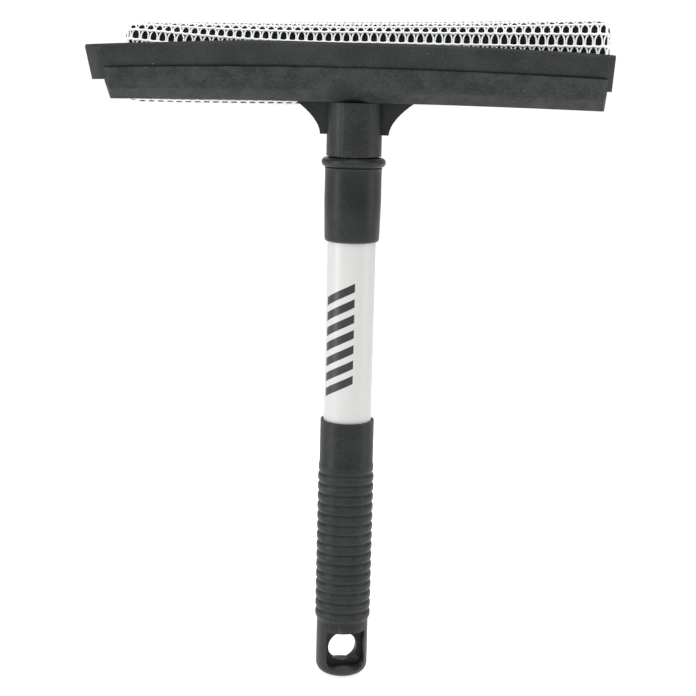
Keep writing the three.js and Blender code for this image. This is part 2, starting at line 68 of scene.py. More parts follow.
# ---------------------------------------------------------------- small tools
def linear(code: str) -> tuple[float, float, float, float]:
    """Turns an sRGB hex colour into linear light.

    Args:
        code: Six hex digits, with or without a leading hash.

    Returns:
        Linear red, green, blue and an alpha of one.
    """
    digits = code.lstrip("#")
    channels = [int(digits[i:i + 2], 16) / 255 for i in (0, 2, 4)]
    curve = [c / 12.92 if c <= 0.04045 else ((c + 0.055) / 1.055) ** 2.4 for c in channels]
    return (curve[0], curve[1], curve[2], 1.0)


def per_metre(size_mm: float) -> float:
    """Returns the texture scale whose features are about this many millimetres across."""
    return 1.0 / (size_mm * MM)


def circle(count: int, start: float = 0.0) -> list[float]:
    """Returns the angles of this many points spread evenly round a circle."""
    return [start + 2 * math.pi * i / count for i in range(count)]


def quarter(steps: int) -> list[float]:
    """Returns the angles of a quarter turn, from nought, in this many steps."""
    return [math.pi / 2 * i / steps for i in range(steps + 1)]


@contextmanager
def editing(mesh: bpy.types.Mesh) -> Iterator[bmesh.types.BMesh]:
    """Opens a mesh for editing and writes it back at the end.

    Args:
        mesh: The mesh to edit.

    Yields:
        The open mesh.
    """
    work = bmesh.new()
    work.from_mesh(mesh)
    yield work
    work.to_mesh(mesh)
    work.free()


def add_node(tree: bpy.types.NodeTree, kind: str, inputs: dict[str | int, object] | None = None,
             **settings: object) -> bpy.types.Node:
    """Adds a node with its settings, and fills or links its inputs.

    Args:
        tree: The node tree.
        kind: The node's Blender type.
        inputs: Values or output sockets, by input name or number.
        **settings: The node's own properties.

    Returns:
        The new node.
    """
    node = tree.nodes.new(kind)
    for name, value in settings.items():
        setattr(node, name, value)
    for key, value in (inputs or {}).items():
        if isinstance(value, bpy.types.NodeSocket):
            tree.links.new(value, node.inputs[key])
        else:
            node.inputs[key].default_value = value
    return node


def new_piece(name: str, vertices: Sequence[Sequence[float]], faces: Sequence[Sequence[int]],
              sharp: float = 40.0, mend: bool = True) -> bpy.types.Object:
    """Makes a smooth-shaded mesh object.

    Args:
        name: The piece's name.
        vertices: Places in metres.
        faces: Vertex numbers of each face.
        sharp: Edges that turn by more degrees than this stay sharp.
        mend: Whether to turn all faces outwards.

    Returns:
        The object, linked to the scene.
    """
    mesh = bpy.data.meshes.new(name)
    mesh.from_pydata(vertices, [], faces)
    if mend:
        with editing(mesh) as work:
            bmesh.ops.recalc_face_normals(work, faces=work.faces)
    mesh.shade_smooth()
    mesh.set_sharp_from_angle(angle=math.radians(sharp))
    piece = bpy.data.objects.new(name, mesh)
    bpy.context.scene.collection.objects.link(piece)
    return piece


def rounded(corners: Sequence[Point2], radius: float, closed: bool = True,
            steps: int = 4) -> list[Point2]:
    """Rounds the corners of an outline.

    Args:
        corners: The outline's corner points.
        radius: How far back from each corner the rounding starts, where there is room.
        closed: Whether the last point joins the first.
        steps: Straight pieces in each rounding.

    Returns:
        The outline with its roundings.
    """
    count, most = len(corners), 0.45        # the share of an edge that one rounding may take
    result: list[Point2] = []
    for i, corner in enumerate(corners):
        if not closed and i in (0, count - 1):
            result.append(corner)
            continue
        here = Vector(corner)
        before, after = Vector(corners[i - 1]) - here, Vector(corners[(i + 1) % count]) - here
        reach = min(radius, most * before.length, most * after.length)
        start, end = here + before.normalized() * reach, here + after.normalized() * reach
        for step in range(steps + 1):
            t = step / steps
            result.append(tuple(start * (1 - t) ** 2 + here * 2 * t * (1 - t) + end * t ** 2))
    return result


def turned(name: str, profile: Sequence[Point2], sides: int = 96, turn: float = 0.0,
           closed: bool = False) -> bpy.types.Object:
    """Turns a profile about the handle's axis.

    Args:
        name: The piece's name.
        profile: Radius and height pairs in metres; both ends lie on the axis unless it is closed.
        sides: Faces round the axis.
        turn: Angle of the first face, in radians.
        closed: Whether the profile closes on itself.

    Returns:
        The turned piece.
    """
    angles = circle(sides, turn)
    vertices: list[tuple[float, float, float]] = []
    rows: list[list[int]] = []
    for radius, height in profile:
        around = [0.0] if radius == 0 else angles
        rows.append(list(range(len(vertices), len(vertices) + len(around))))
        vertices += [(radius * math.cos(a), radius * math.sin(a), height) for a in around]
    pairs = list(zip(rows, rows[1:])) + ([(rows[-1], rows[0])] if closed else [])
    faces = []
    for low, high in pairs:
        for i in range(sides):
            j = (i + 1) % sides
            ring = [low[i % len(low)], low[j % len(low)], high[j % len(high)], high[i % len(high)]]
            faces.append(tuple(dict.fromkeys(ring)))
    return new_piece(name, vertices, faces)


def swept(name: str, rings: Sequence[Sequence[Vector]], sharp: float = 40.0) -> bpy.types.Object:
    """Joins closed rings of points into a solid with flat ends.

    Args:
        name: The piece's name.
        rings: Rings with the same number of points, in order.
        sharp: Edges that turn by more degrees than this stay sharp.

    Returns:
        The solid.
    """
    size = len(rings[0])
    vertices = [tuple(point) for ring in rings for point in ring]
    faces = [tuple(range(size)), tuple(range(len(vertices) - size, len(vertices)))]
    for start in range(0, len(vertices) - size, size):
        for i in range(size):
            j = (i + 1) % size
            faces.append((start + i, start + j, start + size + j, start + size + i))
    return new_piece(name, vertices, faces, sharp)


def bake(piece: bpy.types.Object) -> bpy.types.Object:
    """Makes the result of the piece's modifiers its own mesh.

    Args:
        piece: The piece, whose modifiers are then gone.

    Returns:
        The same piece.
    """
    graph = bpy.context.evaluated_depsgraph_get()
    mesh = bpy.data.meshes.new_from_object(piece.evaluated_get(graph))
    piece.modifiers.clear()
    piece.data = mesh
    return piece


def cut(piece: bpy.types.Object, tools: Sequence[bpy.types.Object]) -> bpy.types.Object:
    """Cuts tools out of a piece and removes them.

    Args:
        piece: The piece to cut.
        tools: The cutting solids.

    Returns:
        The cut piece.
    """
    for tool in tools:
        modifier = piece.modifiers.new("cut", "BOOLEAN")
        modifier.object, modifier.operation, modifier.solver = tool, "DIFFERENCE", "EXACT"
        bake(piece)
        bpy.data.objects.remove(tool)
    return piece


def soften_edges(piece: bpy.types.Object, width_mm: float, degrees: float = 35.0,
                 segments: int = 3) -> bpy.types.Object:
    """Rounds a piece's sharp edges with a bevel.

    Args:
        piece: The piece.
        width_mm: Width of the rounding.
        degrees: Edges that turn by more than this are rounded.
        segments: Faces across the rounding.

    Returns:
        The same piece.
    """
    bevel = piece.modifiers.new("edge rounding", "BEVEL")
    bevel.width, bevel.segments = width_mm * MM, segments
    bevel.limit_method, bevel.angle_limit = "ANGLE", math.radians(degrees)
    bevel.harden_normals = False
    return piece


def dress(piece: bpy.types.Object, material: bpy.types.Material, body: str,
          nodes: Sequence[str] = ()) -> bpy.types.Object:
    """Gives a new piece its material and its body, and hides the nodes that it stands for.

    Args:
        piece: The piece, in place.
        material: Its finish.
        body: The body that it moves with.
        nodes: The nodes that it stands for.

    Returns:
        The same piece.
    """
    piece.data.materials.clear()
    piece.data.materials.append(material)
    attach(piece, body)
    if nodes:
        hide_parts(*nodes)
    log.info("%s: %d faces, %s, on %s", piece.name, len(piece.data.polygons), material.name, body)
    return piece


# ---------------------------------------------------------------- finishes
class Dust(Enum):
    """How many light specks lie on a surface; the value is the share of texture cells that hold one."""

    NONE = 0.0
    FEW = 0.12


def start_material(name: str) -> tuple[bpy.types.Material, bpy.types.NodeTree, bpy.types.Node,
                                       bpy.types.NodeSocket]:
    """Starts a material.

    Args:
        name: The material's name.

    Returns:
        The material, its tree, its main shader, and the socket with places on the object in metres.
    """
    material = bpy.data.materials.new(name)
    material.use_nodes = True
    tree = material.node_tree
    shader = next(n for n in tree.nodes if n.type == "BSDF_PRINCIPLED")
    place = add_node(tree, "ShaderNodeTexCoord").outputs["Object"]
    return material, tree, shader, place


@dataclass(frozen=True)
class Moulding:
    """A moulded plastic or rubber: cloudy tone, fine tool grain, paler worn edges and a little dust."""

    name: str
    dark: str
    light: str
    roughness: float
    grain_mm: float
    grain_depth_mm: float
    cloud_mm: float = 14.0
    mottle_mm: float = 1.4
    specular: float = 0.22      # black pigment dulls the skin of the moulding
    wear: float = 0.2
    dust: Dust = Dust.NONE
    contrast: float = 0.14      # noise this far off its mean gives the darkest or the lightest tone
    worn: str = "#7d8080"
    worn_from: float = 0.51     # how pointed an edge is where wear starts; a flat face has 0.5
    worn_full: float = 0.6
    sheen_mm: float = 3.0
    sheen_swing: float = 0.07   # how far the roughness strays from its mean
    speck: str = "#8f9292"
    speck_cell_mm: float = 3.2  # spacing of the places where a speck may lie
    speck_core: float = 0.04    # where a speck starts to fade and where it ends, as shares of that spacing
    speck_edge: float = 0.09
    speck_cover: float = 0.75

    def make(self) -> bpy.types.Material:
        """Builds the material.

        Returns:
            The material.
        """
        material, tree, shader, place = start_material(self.name)
        cloud = add_node(tree, "ShaderNodeTexNoise",
                         {"Vector": place, "Scale": per_metre(self.cloud_mm), "Detail": 5.0,
                          "Roughness": 0.6})
        mottle = add_node(tree, "ShaderNodeTexNoise",
                          {"Vector": place, "Scale": per_metre(self.mottle_mm), "Detail": 3.0,
                           "Roughness": 0.7})
        both = add_node(tree, "ShaderNodeMath",
                        {0: cloud.outputs["Fac"], 1: mottle.outputs["Fac"]}, operation="ADD")
        tone = add_node(tree, "ShaderNodeMapRange",
                        {"Value": both.outputs[0], "From Min": 1 - self.contrast,
                         "From Max": 1 + self.contrast})
        colour = add_node(tree, "ShaderNodeMix",
                          {0: tone.outputs["Result"], 6: linear(self.dark), 7: linear(self.light)},
                          data_type="RGBA").outputs[2]
        # Handling polishes and greys the edges first.
        edges = add_node(tree, "ShaderNodeNewGeometry").outputs["Pointiness"]
        worn = add_node(tree, "ShaderNodeMapRange",
                        {"Value": edges, "From Min": self.worn_from, "From Max": self.worn_full,
                         "To Max": self.wear})
        colour = add_node(tree, "ShaderNodeMix",
                          {0: worn.outputs["Result"], 6: colour, 7: linear(self.worn)},
                          data_type="RGBA").outputs[2]
        if self.dust is not Dust.NONE:
            colour = self.dusted(tree, place, colour)
        tree.links.new(colour, shader.inputs["Base Color"])
        sheen = add_node(tree, "ShaderNodeTexNoise",
                         {"Vector": place, "Scale": per_metre(self.sheen_mm), "Detail": 3.0})
        gloss = add_node(tree, "ShaderNodeMapRange",
                         {"Value": sheen.outputs["Fac"], "To Min": self.roughness - self.sheen_swing,
                          "To Max": self.roughness + self.sheen_swing})
        tree.links.new(gloss.outputs["Result"], shader.inputs["Roughness"])
        grain = add_node(tree, "ShaderNodeTexNoise",
                         {"Vector": place, "Scale": per_metre(self.grain_mm), "Detail": 2.0})
        bump = add_node(tree, "ShaderNodeBump",
                        {"Height": grain.outputs["Fac"], "Strength": 0.6,
                         "Distance": self.grain_depth_mm * MM})
        tree.links.new(bump.outputs["Normal"], shader.inputs["Normal"])
        shader.inputs["IOR"].default_value = 1.49
        shader.inputs["Specular IOR Level"].default_value = self.specular
        return material

    def dusted(self, tree: bpy.types.NodeTree, place: bpy.types.NodeSocket,
               colour: bpy.types.NodeSocket) -> bpy.types.NodeSocket:
        """Lays light specks on a colour.

        Args:
            tree: The material's tree.
            place: Places on the object.
            colour: The colour below.

        Returns:
            The colour with specks.
        """
        cells = add_node(tree, "ShaderNodeTexVoronoi",
                         {"Vector": place, "Scale": per_metre(self.speck_cell_mm)})
        parts = add_node(tree, "ShaderNodeSeparateColor", {"Color": cells.outputs["Color"]})
        chosen = add_node(tree, "ShaderNodeMath", {0: parts.outputs["Red"], 1: self.dust.value},
                          operation="LESS_THAN")
        near = add_node(tree, "ShaderNodeMapRange",
                        {"Value": cells.outputs["Distance"], "From Min": self.speck_core,
                         "From Max": self.speck_edge, "To Min": self.speck_cover, "To Max": 0.0})
        speck = add_node(tree, "ShaderNodeMath",
                         {0: chosen.outputs[0], 1: near.outputs["Result"]}, operation="MULTIPLY")
        return add_node(tree, "ShaderNodeMix",
                        {0: speck.outputs[0], 6: colour, 7: linear(self.speck)},
                        data_type="RGBA").outputs[2]


@dataclass(frozen=True)
class SteelFinish:
    """A bare or plated steel, with fine marks drawn along the handle or a clouded plating."""

    name: str
    dark: str
    light: str
    roughness: float
    along: float                # how many times longer than wide the marks are
    mark_mm: float = 0.5
    mark_depth_mm: float = 0.01
    swing: float = 0.1          # how far the roughness strays from its mean

    def make(self) -> bpy.types.Material:
        """Builds the material.

        Returns:
            The material.
        """
        material, tree, shader, place = start_material(self.name)
        drawn = add_node(tree, "ShaderNodeMapping", {"Vector": place, "Scale": (1, 1, 1 / self.along)})
        marks = add_node(tree, "ShaderNodeTexNoise",
                         {"Vector": drawn.outputs["Vector"], "Scale": per_metre(self.mark_mm),
                          "Detail": 4.0})
        colour = add_node(tree, "ShaderNodeMix",
                          {0: marks.outputs["Fac"], 6: linear(self.dark), 7: linear(self.light)},
                          data_type="RGBA")
        tree.links.new(colour.outputs[2], shader.inputs["Base Color"])
        gloss = add_node(tree, "ShaderNodeMapRange",
                         {"Value": marks.outputs["Fac"], "To Min": self.roughness - self.swing,
                          "To Max": self.roughness + self.swing})
        tree.links.new(gloss.outputs["Result"], shader.inputs["Roughness"])
        bump = add_node(tree, "ShaderNodeBump",
                        {"Height": marks.outputs["Fac"], "Strength": 0.4,
                         "Distance": self.mark_depth_mm * MM})
        tree.links.new(bump.outputs["Normal"], shader.inputs["Normal"])
        shader.inputs["Metallic"].default_value = 1.0
        return material


@dataclass(frozen=True)
class TubeCoat:
    """Powder coat on a drawn steel tube, with a plain printed block of slanted bars."""

    name: str = "powder coat on drawn steel, satin, screen printed"
    coat: str = "#bebebc"
    shade: str = "#b6b6b4"
    ink: str = "#1c1d1d"
    low_up: float = 139.5       # lower edge of the print, in millimetres above the hang end
    high_up: float = 186.5
    left: float = -12.0         # edges of the print, in millimetres round the tube from its front
    right: float = 3.0
    pitch: float = 7.0          # spacing of the bars
    bar_share: float = 0.56     # inked share of each pitch
    slant: float = 0.5          # rise of a bar for each millimetre round the tube
    cloud_mm: float = 9.0
    peel_mm: float = 1.5
    peel_depth_mm: float = 0.012
    smoothest: float = 0.3      # least and most roughness
    roughest: float = 0.42

    def make(self) -> bpy.types.Material:
        """Builds the material.

        Returns:
            The material.
        """
        material, tree, shader, place = start_material(self.name)
        cloud = add_node(tree, "ShaderNodeTexNoise",
                         {"Vector": place, "Scale": per_metre(self.cloud_mm), "Detail": 4.0})
        colour = add_node(tree, "ShaderNodeMix",
                          {0: cloud.outputs["Fac"], 6: linear(self.shade), 7: linear(self.coat)},
                          data_type="RGBA").outputs[2]
        colour = add_node(tree, "ShaderNodeMix",
                          {0: self.print_mask(tree, place), 6: colour, 7: linear(self.ink)},
                          data_type="RGBA").outputs[2]
        tree.links.new(colour, shader.inputs["Base Color"])
        # Powder coat flows out to a faint orange peel, about a millimetre and a half across.
        peel = add_node(tree, "ShaderNodeTexNoise",
                        {"Vector": place, "Scale": per_metre(self.peel_mm), "Detail": 1.0})
        bump = add_node(tree, "ShaderNodeBump",
                        {"Height": peel.outputs["Fac"], "Strength": 0.5,
                         "Distance": self.peel_depth_mm * MM})
        tree.links.new(bump.outputs["Normal"], shader.inputs["Normal"])
        gloss = add_node(tree, "ShaderNodeMapRange",
                         {"Value": cloud.outputs["Fac"], "To Min": self.smoothest,
                          "To Max": self.roughest})
        tree.links.new(gloss.outputs["Result"], shader.inputs["Roughness"])
        return material

    def print_mask(self, tree: bpy.types.NodeTree,
                   place: bpy.types.NodeSocket) -> bpy.types.NodeSocket:
        """Works out where the bars are.

        Args:
            tree: The material's tree.
            place: Places on the tube.

        Returns:
            One on the ink and nought off it.
        """
        parts = add_node(tree, "ShaderNodeSeparateXYZ", {"Vector": place}).outputs
        forward = add_node(tree, "ShaderNodeMath", {0: parts["Y"], 1: -1.0}, operation="MULTIPLY")
        angle = add_node(tree, "ShaderNodeMath", {0: parts["X"], 1: forward.outputs[0]},
                         operation="ARCTAN2")
        across = add_node(tree, "ShaderNodeMath", {0: angle.outputs[0], 1: TUBE_RADIUS},
                          operation="MULTIPLY").outputs[0]
        above_foot = add_node(tree, "ShaderNodeMath", {0: parts["Z"], 1: FOOT}, operation="SUBTRACT")
        height = add_node(tree, "ShaderNodeMath", {0: above_foot.outputs[0], 1: 1 / MM},
                          operation="MULTIPLY")
        slanted = add_node(tree, "ShaderNodeMath", {0: across, 1: -self.slant, 2: height.outputs[0]},
                           operation="MULTIPLY_ADD").outputs[0]
        bars = add_node(tree, "ShaderNodeMath", {0: slanted, 1: self.pitch}, operation="DIVIDE")
        phase = add_node(tree, "ShaderNodeMath", {0: bars.outputs[0]}, operation="FRACT").outputs[0]
        limits = [
            ("LESS_THAN", phase, self.bar_share), ("GREATER_THAN", across, self.left),
            ("LESS_THAN", across, self.right), ("GREATER_THAN", slanted, self.low_up),
            ("LESS_THAN", slanted, self.high_up)]
        inside = [add_node(tree, "ShaderNodeMath", {0: value, 1: limit}, operation=side).outputs[0]
                  for side, value, limit in limits]
        mask = inside[0]
        for other in inside[1:]:
            mask = add_node(tree, "ShaderNodeMath", {0: mask, 1: other},
                            operation="MULTIPLY").outputs[0]
        return mask


@dataclass(frozen=True)
class NetThread:
    """Polyethylene thread, knitted: white, slightly glossy, with the twist of its plies."""

    name: str = "polyethylene thread, knitted"
    light: str = "#fafafa"
    shade: str = "#d8dadb"
    ply_mm: float = 0.45        # the plies are about 0.15 mm, and drawn coarser so that they show
    ply_depth_mm: float = 0.12

    def make(self) -> bpy.types.Material:
        """Builds the material.

        Returns:
            The material.
        """
        material, tree, shader, place = start_material(self.name)
        plies = add_node(tree, "ShaderNodeTexNoise",
                         {"Vector": place, "Scale": per_metre(self.ply_mm), "Detail": 2.0})
        colour = add_node(tree, "ShaderNodeMix",
                          {0: plies.outputs["Fac"], 6: linear(self.shade), 7: linear(self.light)},
                          data_type="RGBA")
        tree.links.new(colour.outputs[2], shader.inputs["Base Color"])
        bump = add_node(tree, "ShaderNodeBump",
                        {"Height": plies.outputs["Fac"], "Strength": 0.7,
                         "Distance": self.ply_depth_mm * MM})
        tree.links.new(bump.outputs["Normal"], shader.inputs["Normal"])
        shader.inputs["Roughness"].default_value = 0.5
        shader.inputs["IOR"].default_value = 1.51
        return material


@dataclass(frozen=True)
class Foam:
    """Open-cell polyurethane foam, dyed black: near-black painted shade in the pores, and paler cell walls.
    """

    name: str = "polyurethane foam, open-cell, dyed"
    # The pore colour is painted shade: near black where shade falls into the cells.
    painted_pore_shade: str = "#060606"
    wall: str = "#202223"
    cell_mm: float = 0.9        # cells are about 0.5 mm, and drawn coarser so that they show
    cell_depth_mm: float = 0.4
    pore_shade_share: float = 0.2     # where a cell's painted pore shade ends and its wall colour is full, as shares of its size
    wall_share: float = 0.7

    def make(self) -> bpy.types.Material:
        """Builds the material.

        Returns:
            The material.
        """
        material, tree, shader, place = start_material(self.name)
        cells = add_node(tree, "ShaderNodeTexVoronoi",
                         {"Vector": place, "Scale": per_metre(self.cell_mm)})
        walls = add_node(tree, "ShaderNodeMapRange",
                         {"Value": cells.outputs["Distance"], "From Min": self.pore_shade_share,
                          "From Max": self.wall_share})
        # Painted shade: each cell's middle is darkened to the pore colour, fading out to the wall colour.
        colour = add_node(tree, "ShaderNodeMix",
                          {0: walls.outputs["Result"], 6: linear(self.painted_pore_shade), 7: linear(self.wall)},
                          data_type="RGBA")
        tree.links.new(colour.outputs[2], shader.inputs["Base Color"])
        bump = add_node(tree, "ShaderNodeBump",
                        {"Height": walls.outputs["Result"], "Strength": 1.0,
                         "Distance": self.cell_depth_mm * MM})
        tree.links.new(bump.outputs["Normal"], shader.inputs["Normal"])
        shader.inputs["Roughness"].default_value = 0.95
        shader.inputs["Specular IOR Level"].default_value = 0.1
        return material


class Finishes:
    """All the materials of the tool, each made once."""

    def __init__(self) -> None:
        """Makes the materials."""
        # Polypropylene takes a satin from the mould; black pigment leaves a soft grey sheen.
        self.black = Moulding("polypropylene, injection moulded, black satin", "#151717", "#202223",
                              0.4, 0.5, 0.03).make()
        # The head is the same plastic, moulded as one thick piece: it keeps its edges.
        self.head = Moulding("polypropylene, injection moulded, black head", "#1e2021", "#2a2c2d",
                             0.42, 0.5, 0.03, wear=0.0).make()
        # The holder's mould is spark eroded, so it is grainier, and it lies about and gathers dust.
        self.holder = Moulding("polypropylene, injection moulded, black grained", "#1c1e1e", "#303232",
                               0.52, 0.5, 0.05, cloud_mm=7.0, mottle_mm=0.9, specular=0.24, wear=0.0,
                               dust=Dust.FEW).make()
        # The grip is a softer blend, matter than the head.
        self.grip = Moulding("polypropylene, injection moulded, soft black", "#1b1d1d", "#252728",
                             0.44, 0.6, 0.03).make()
        # Natural rubber with carbon black, pressed between polished plates: smooth and slightly blue.
        self.rubber = Moulding("natural rubber, press moulded, black", "#1a1c1d", "#27292a",
                               0.58, 0.7, 0.03, cloud_mm=12.0, mottle_mm=1.1, specular=0.2, wear=0.1,
                               dust=Dust.FEW).make()
        # Unpigmented acetal is milky white and slippery.
        self.white = Moulding("acetal, injection moulded, natural", "#dedcd5", "#e8e6e0",
                              0.4, 0.7, 0.01, specular=0.5, wear=0.0).make()
        self.coat = TubeCoat().make()
        # Drawing the tube leaves long bright lines along it.
        self.drawn = SteelFinish("mild steel, drawn", "#a9acae", "#c2c4c6", 0.35, 40.0).make()
        # Zinc plating crystallises in a fine cloudy bloom.
        self.zinc = SteelFinish("mild steel, zinc plated", "#9da1a3", "#bcbfc0", 0.42, 1.0).make()
        self.foam = Foam().make()
        self.thread = NetThread().make()


# ---------------------------------------------------------------- studio
@dataclass(frozen=True)
class Softbox:
    """A soft rectangular light, in metres and watts."""

    name: str
    place: tuple[float, float, float]
    width: float
    height: float
    watts: float


@dataclass
class Studio:
    """The camera, a plain pale floor and soft studio light."""

    eye: tuple[float, float, float] = (0.0567, -0.656, 0.2153)
    yaw: float = 4.98           # degrees that the camera looks to the left of straight back
    pitch: float = 10.69        # degrees that it looks down
    roll: float = 1.43          # degrees that it is turned about its own line of sight
    lens_mm: float = 75.7
    sensor_mm: float = 36.0
    nearest: float = 0.01       # what is closer to the camera than this isn't drawn
    floor_size: float = 8.0
    floor_gap: float = 0.5 * MM
    floor_glow: float = 0.75
    floor_dark: str = "#c4c4c4"
    floor_light: str = "#cacaca"
    floor_mottle: float = 2.0   # patches in the floor's tone for each metre
    aim: tuple[float, float, float] = (0.0, 0.0, 0.08)      # what the lights point at
    softboxes: tuple[Softbox, ...] = (
        Softbox("key_left", (-1.0, -0.5, 0.35), 0.3, 1.0, 7.0),
        Softbox("fill_right", (1.1, -0.1, 0.3), 0.25, 1.0, 3.5),
        Softbox("rim_rear", (-0.3, 1.2, 0.9), 0.9, 0.6, 3.0),
        Softbox("overhead", (0.1, -0.5, 1.3), 1.2, 1.2, 13.0),
    )
    ambient: float = 0.62       # how brightly the surroundings light the tool
    backdrop: float = 1.05      # and how bright they look themselves

    def build(self) -> None:
        """Makes the camera first, then the floor, the lights and the surroundings."""
        self.make_camera()
        self.make_floor()
        self.make_lights()

    def make_camera(self) -> None:
        """Makes the camera and gives it to the scene."""
        camera = bpy.data.objects.new("camera", bpy.data.cameras.new("camera"))
        camera.data.lens, camera.data.sensor_width = self.lens_mm, self.sensor_mm
        turn = (Matrix.Rotation(math.radians(self.yaw), 4, "Z")
                @ Matrix.Rotation(math.radians(90 - self.pitch), 4, "X")
                @ Matrix.Rotation(math.radians(self.roll), 4, "Z"))
        camera.matrix_world = Matrix.Translation(self.eye) @ turn
        camera.data.clip_start = self.nearest
        bpy.context.scene.collection.objects.link(camera)
        bpy.context.scene.camera = camera

    def make_floor(self) -> None:
        """Lays the floor just under the hang end: opal acrylic, lit from below as a light table is."""
        half, height = self.floor_size / 2, FOOT - self.floor_gap
        corners = [(-half, -half, height), (half, -half, height), (half, half, height),
                   (-half, half, height)]
        floor = new_piece("floor", corners, [(0, 1, 2, 3)], mend=False)
        material, tree, shader, place = start_material("acrylic sheet, cast, opal")
        mottle = add_node(tree, "ShaderNodeTexNoise", {"Vector": place, "Scale": self.floor_mottle})
        colour = add_node(tree, "ShaderNodeMix",
                          {0: mottle.outputs["Fac"], 6: linear(self.floor_dark),
                           7: linear(self.floor_light)}, data_type="RGBA")
        tree.links.new(colour.outputs[2], shader.inputs["Base Color"])
        shader.inputs["Roughness"].default_value = 0.9
        shader.inputs["Emission Color"].default_value = (1.0, 1.0, 1.0, 1.0)
        shader.inputs["Emission Strength"].default_value = self.floor_glow
        floor.data.materials.append(material)

    def make_lights(self) -> None:
        """Hangs the soft lights and whitens the surroundings."""
        for box in self.softboxes:
            lamp = bpy.data.objects.new(box.name, bpy.data.lights.new(box.name, "AREA"))
            lamp.data.shape, lamp.data.size, lamp.data.size_y = "RECTANGLE", box.width, box.height
            lamp.data.energy = box.watts
            lamp.location = box.place
            beam = Vector(self.aim) - Vector(box.place)
            lamp.rotation_euler = beam.to_track_quat("-Z", "Y").to_euler()
            bpy.context.scene.collection.objects.link(lamp)
        world = bpy.data.worlds.new("white surroundings")
        world.use_nodes = True
        back = next(n for n in world.node_tree.nodes if n.type == "BACKGROUND")
        back.inputs["Color"].default_value = (1.0, 1.0, 1.0, 1.0)
        # The backdrop itself is blown out to white, and what reaches the tool from it is dimmer.
        seen = add_node(world.node_tree, "ShaderNodeLightPath").outputs["Is Camera Ray"]
        strength = add_node(world.node_tree, "ShaderNodeMapRange",
                            {"Value": seen, "To Min": self.ambient, "To Max": self.backdrop})
        world.node_tree.links.new(strength.outputs["Result"], back.inputs["Strength"])
        bpy.context.scene.world = world
        bpy.context.scene.view_settings.view_transform = "Standard"


# ---------------------------------------------------------------- handle
def up(height_mm: float) -> float:
    """Returns the frame's z of a height in millimetres above the hang end."""
    return FOOT + height_mm * MM


def metres(profile: Sequence[Point2]) -> list[Point2]:
    """Returns a profile of radius and height above the hang end, in millimetres, as places in the frame."""
    return [(radius * MM, up(height)) for radius, height in profile]


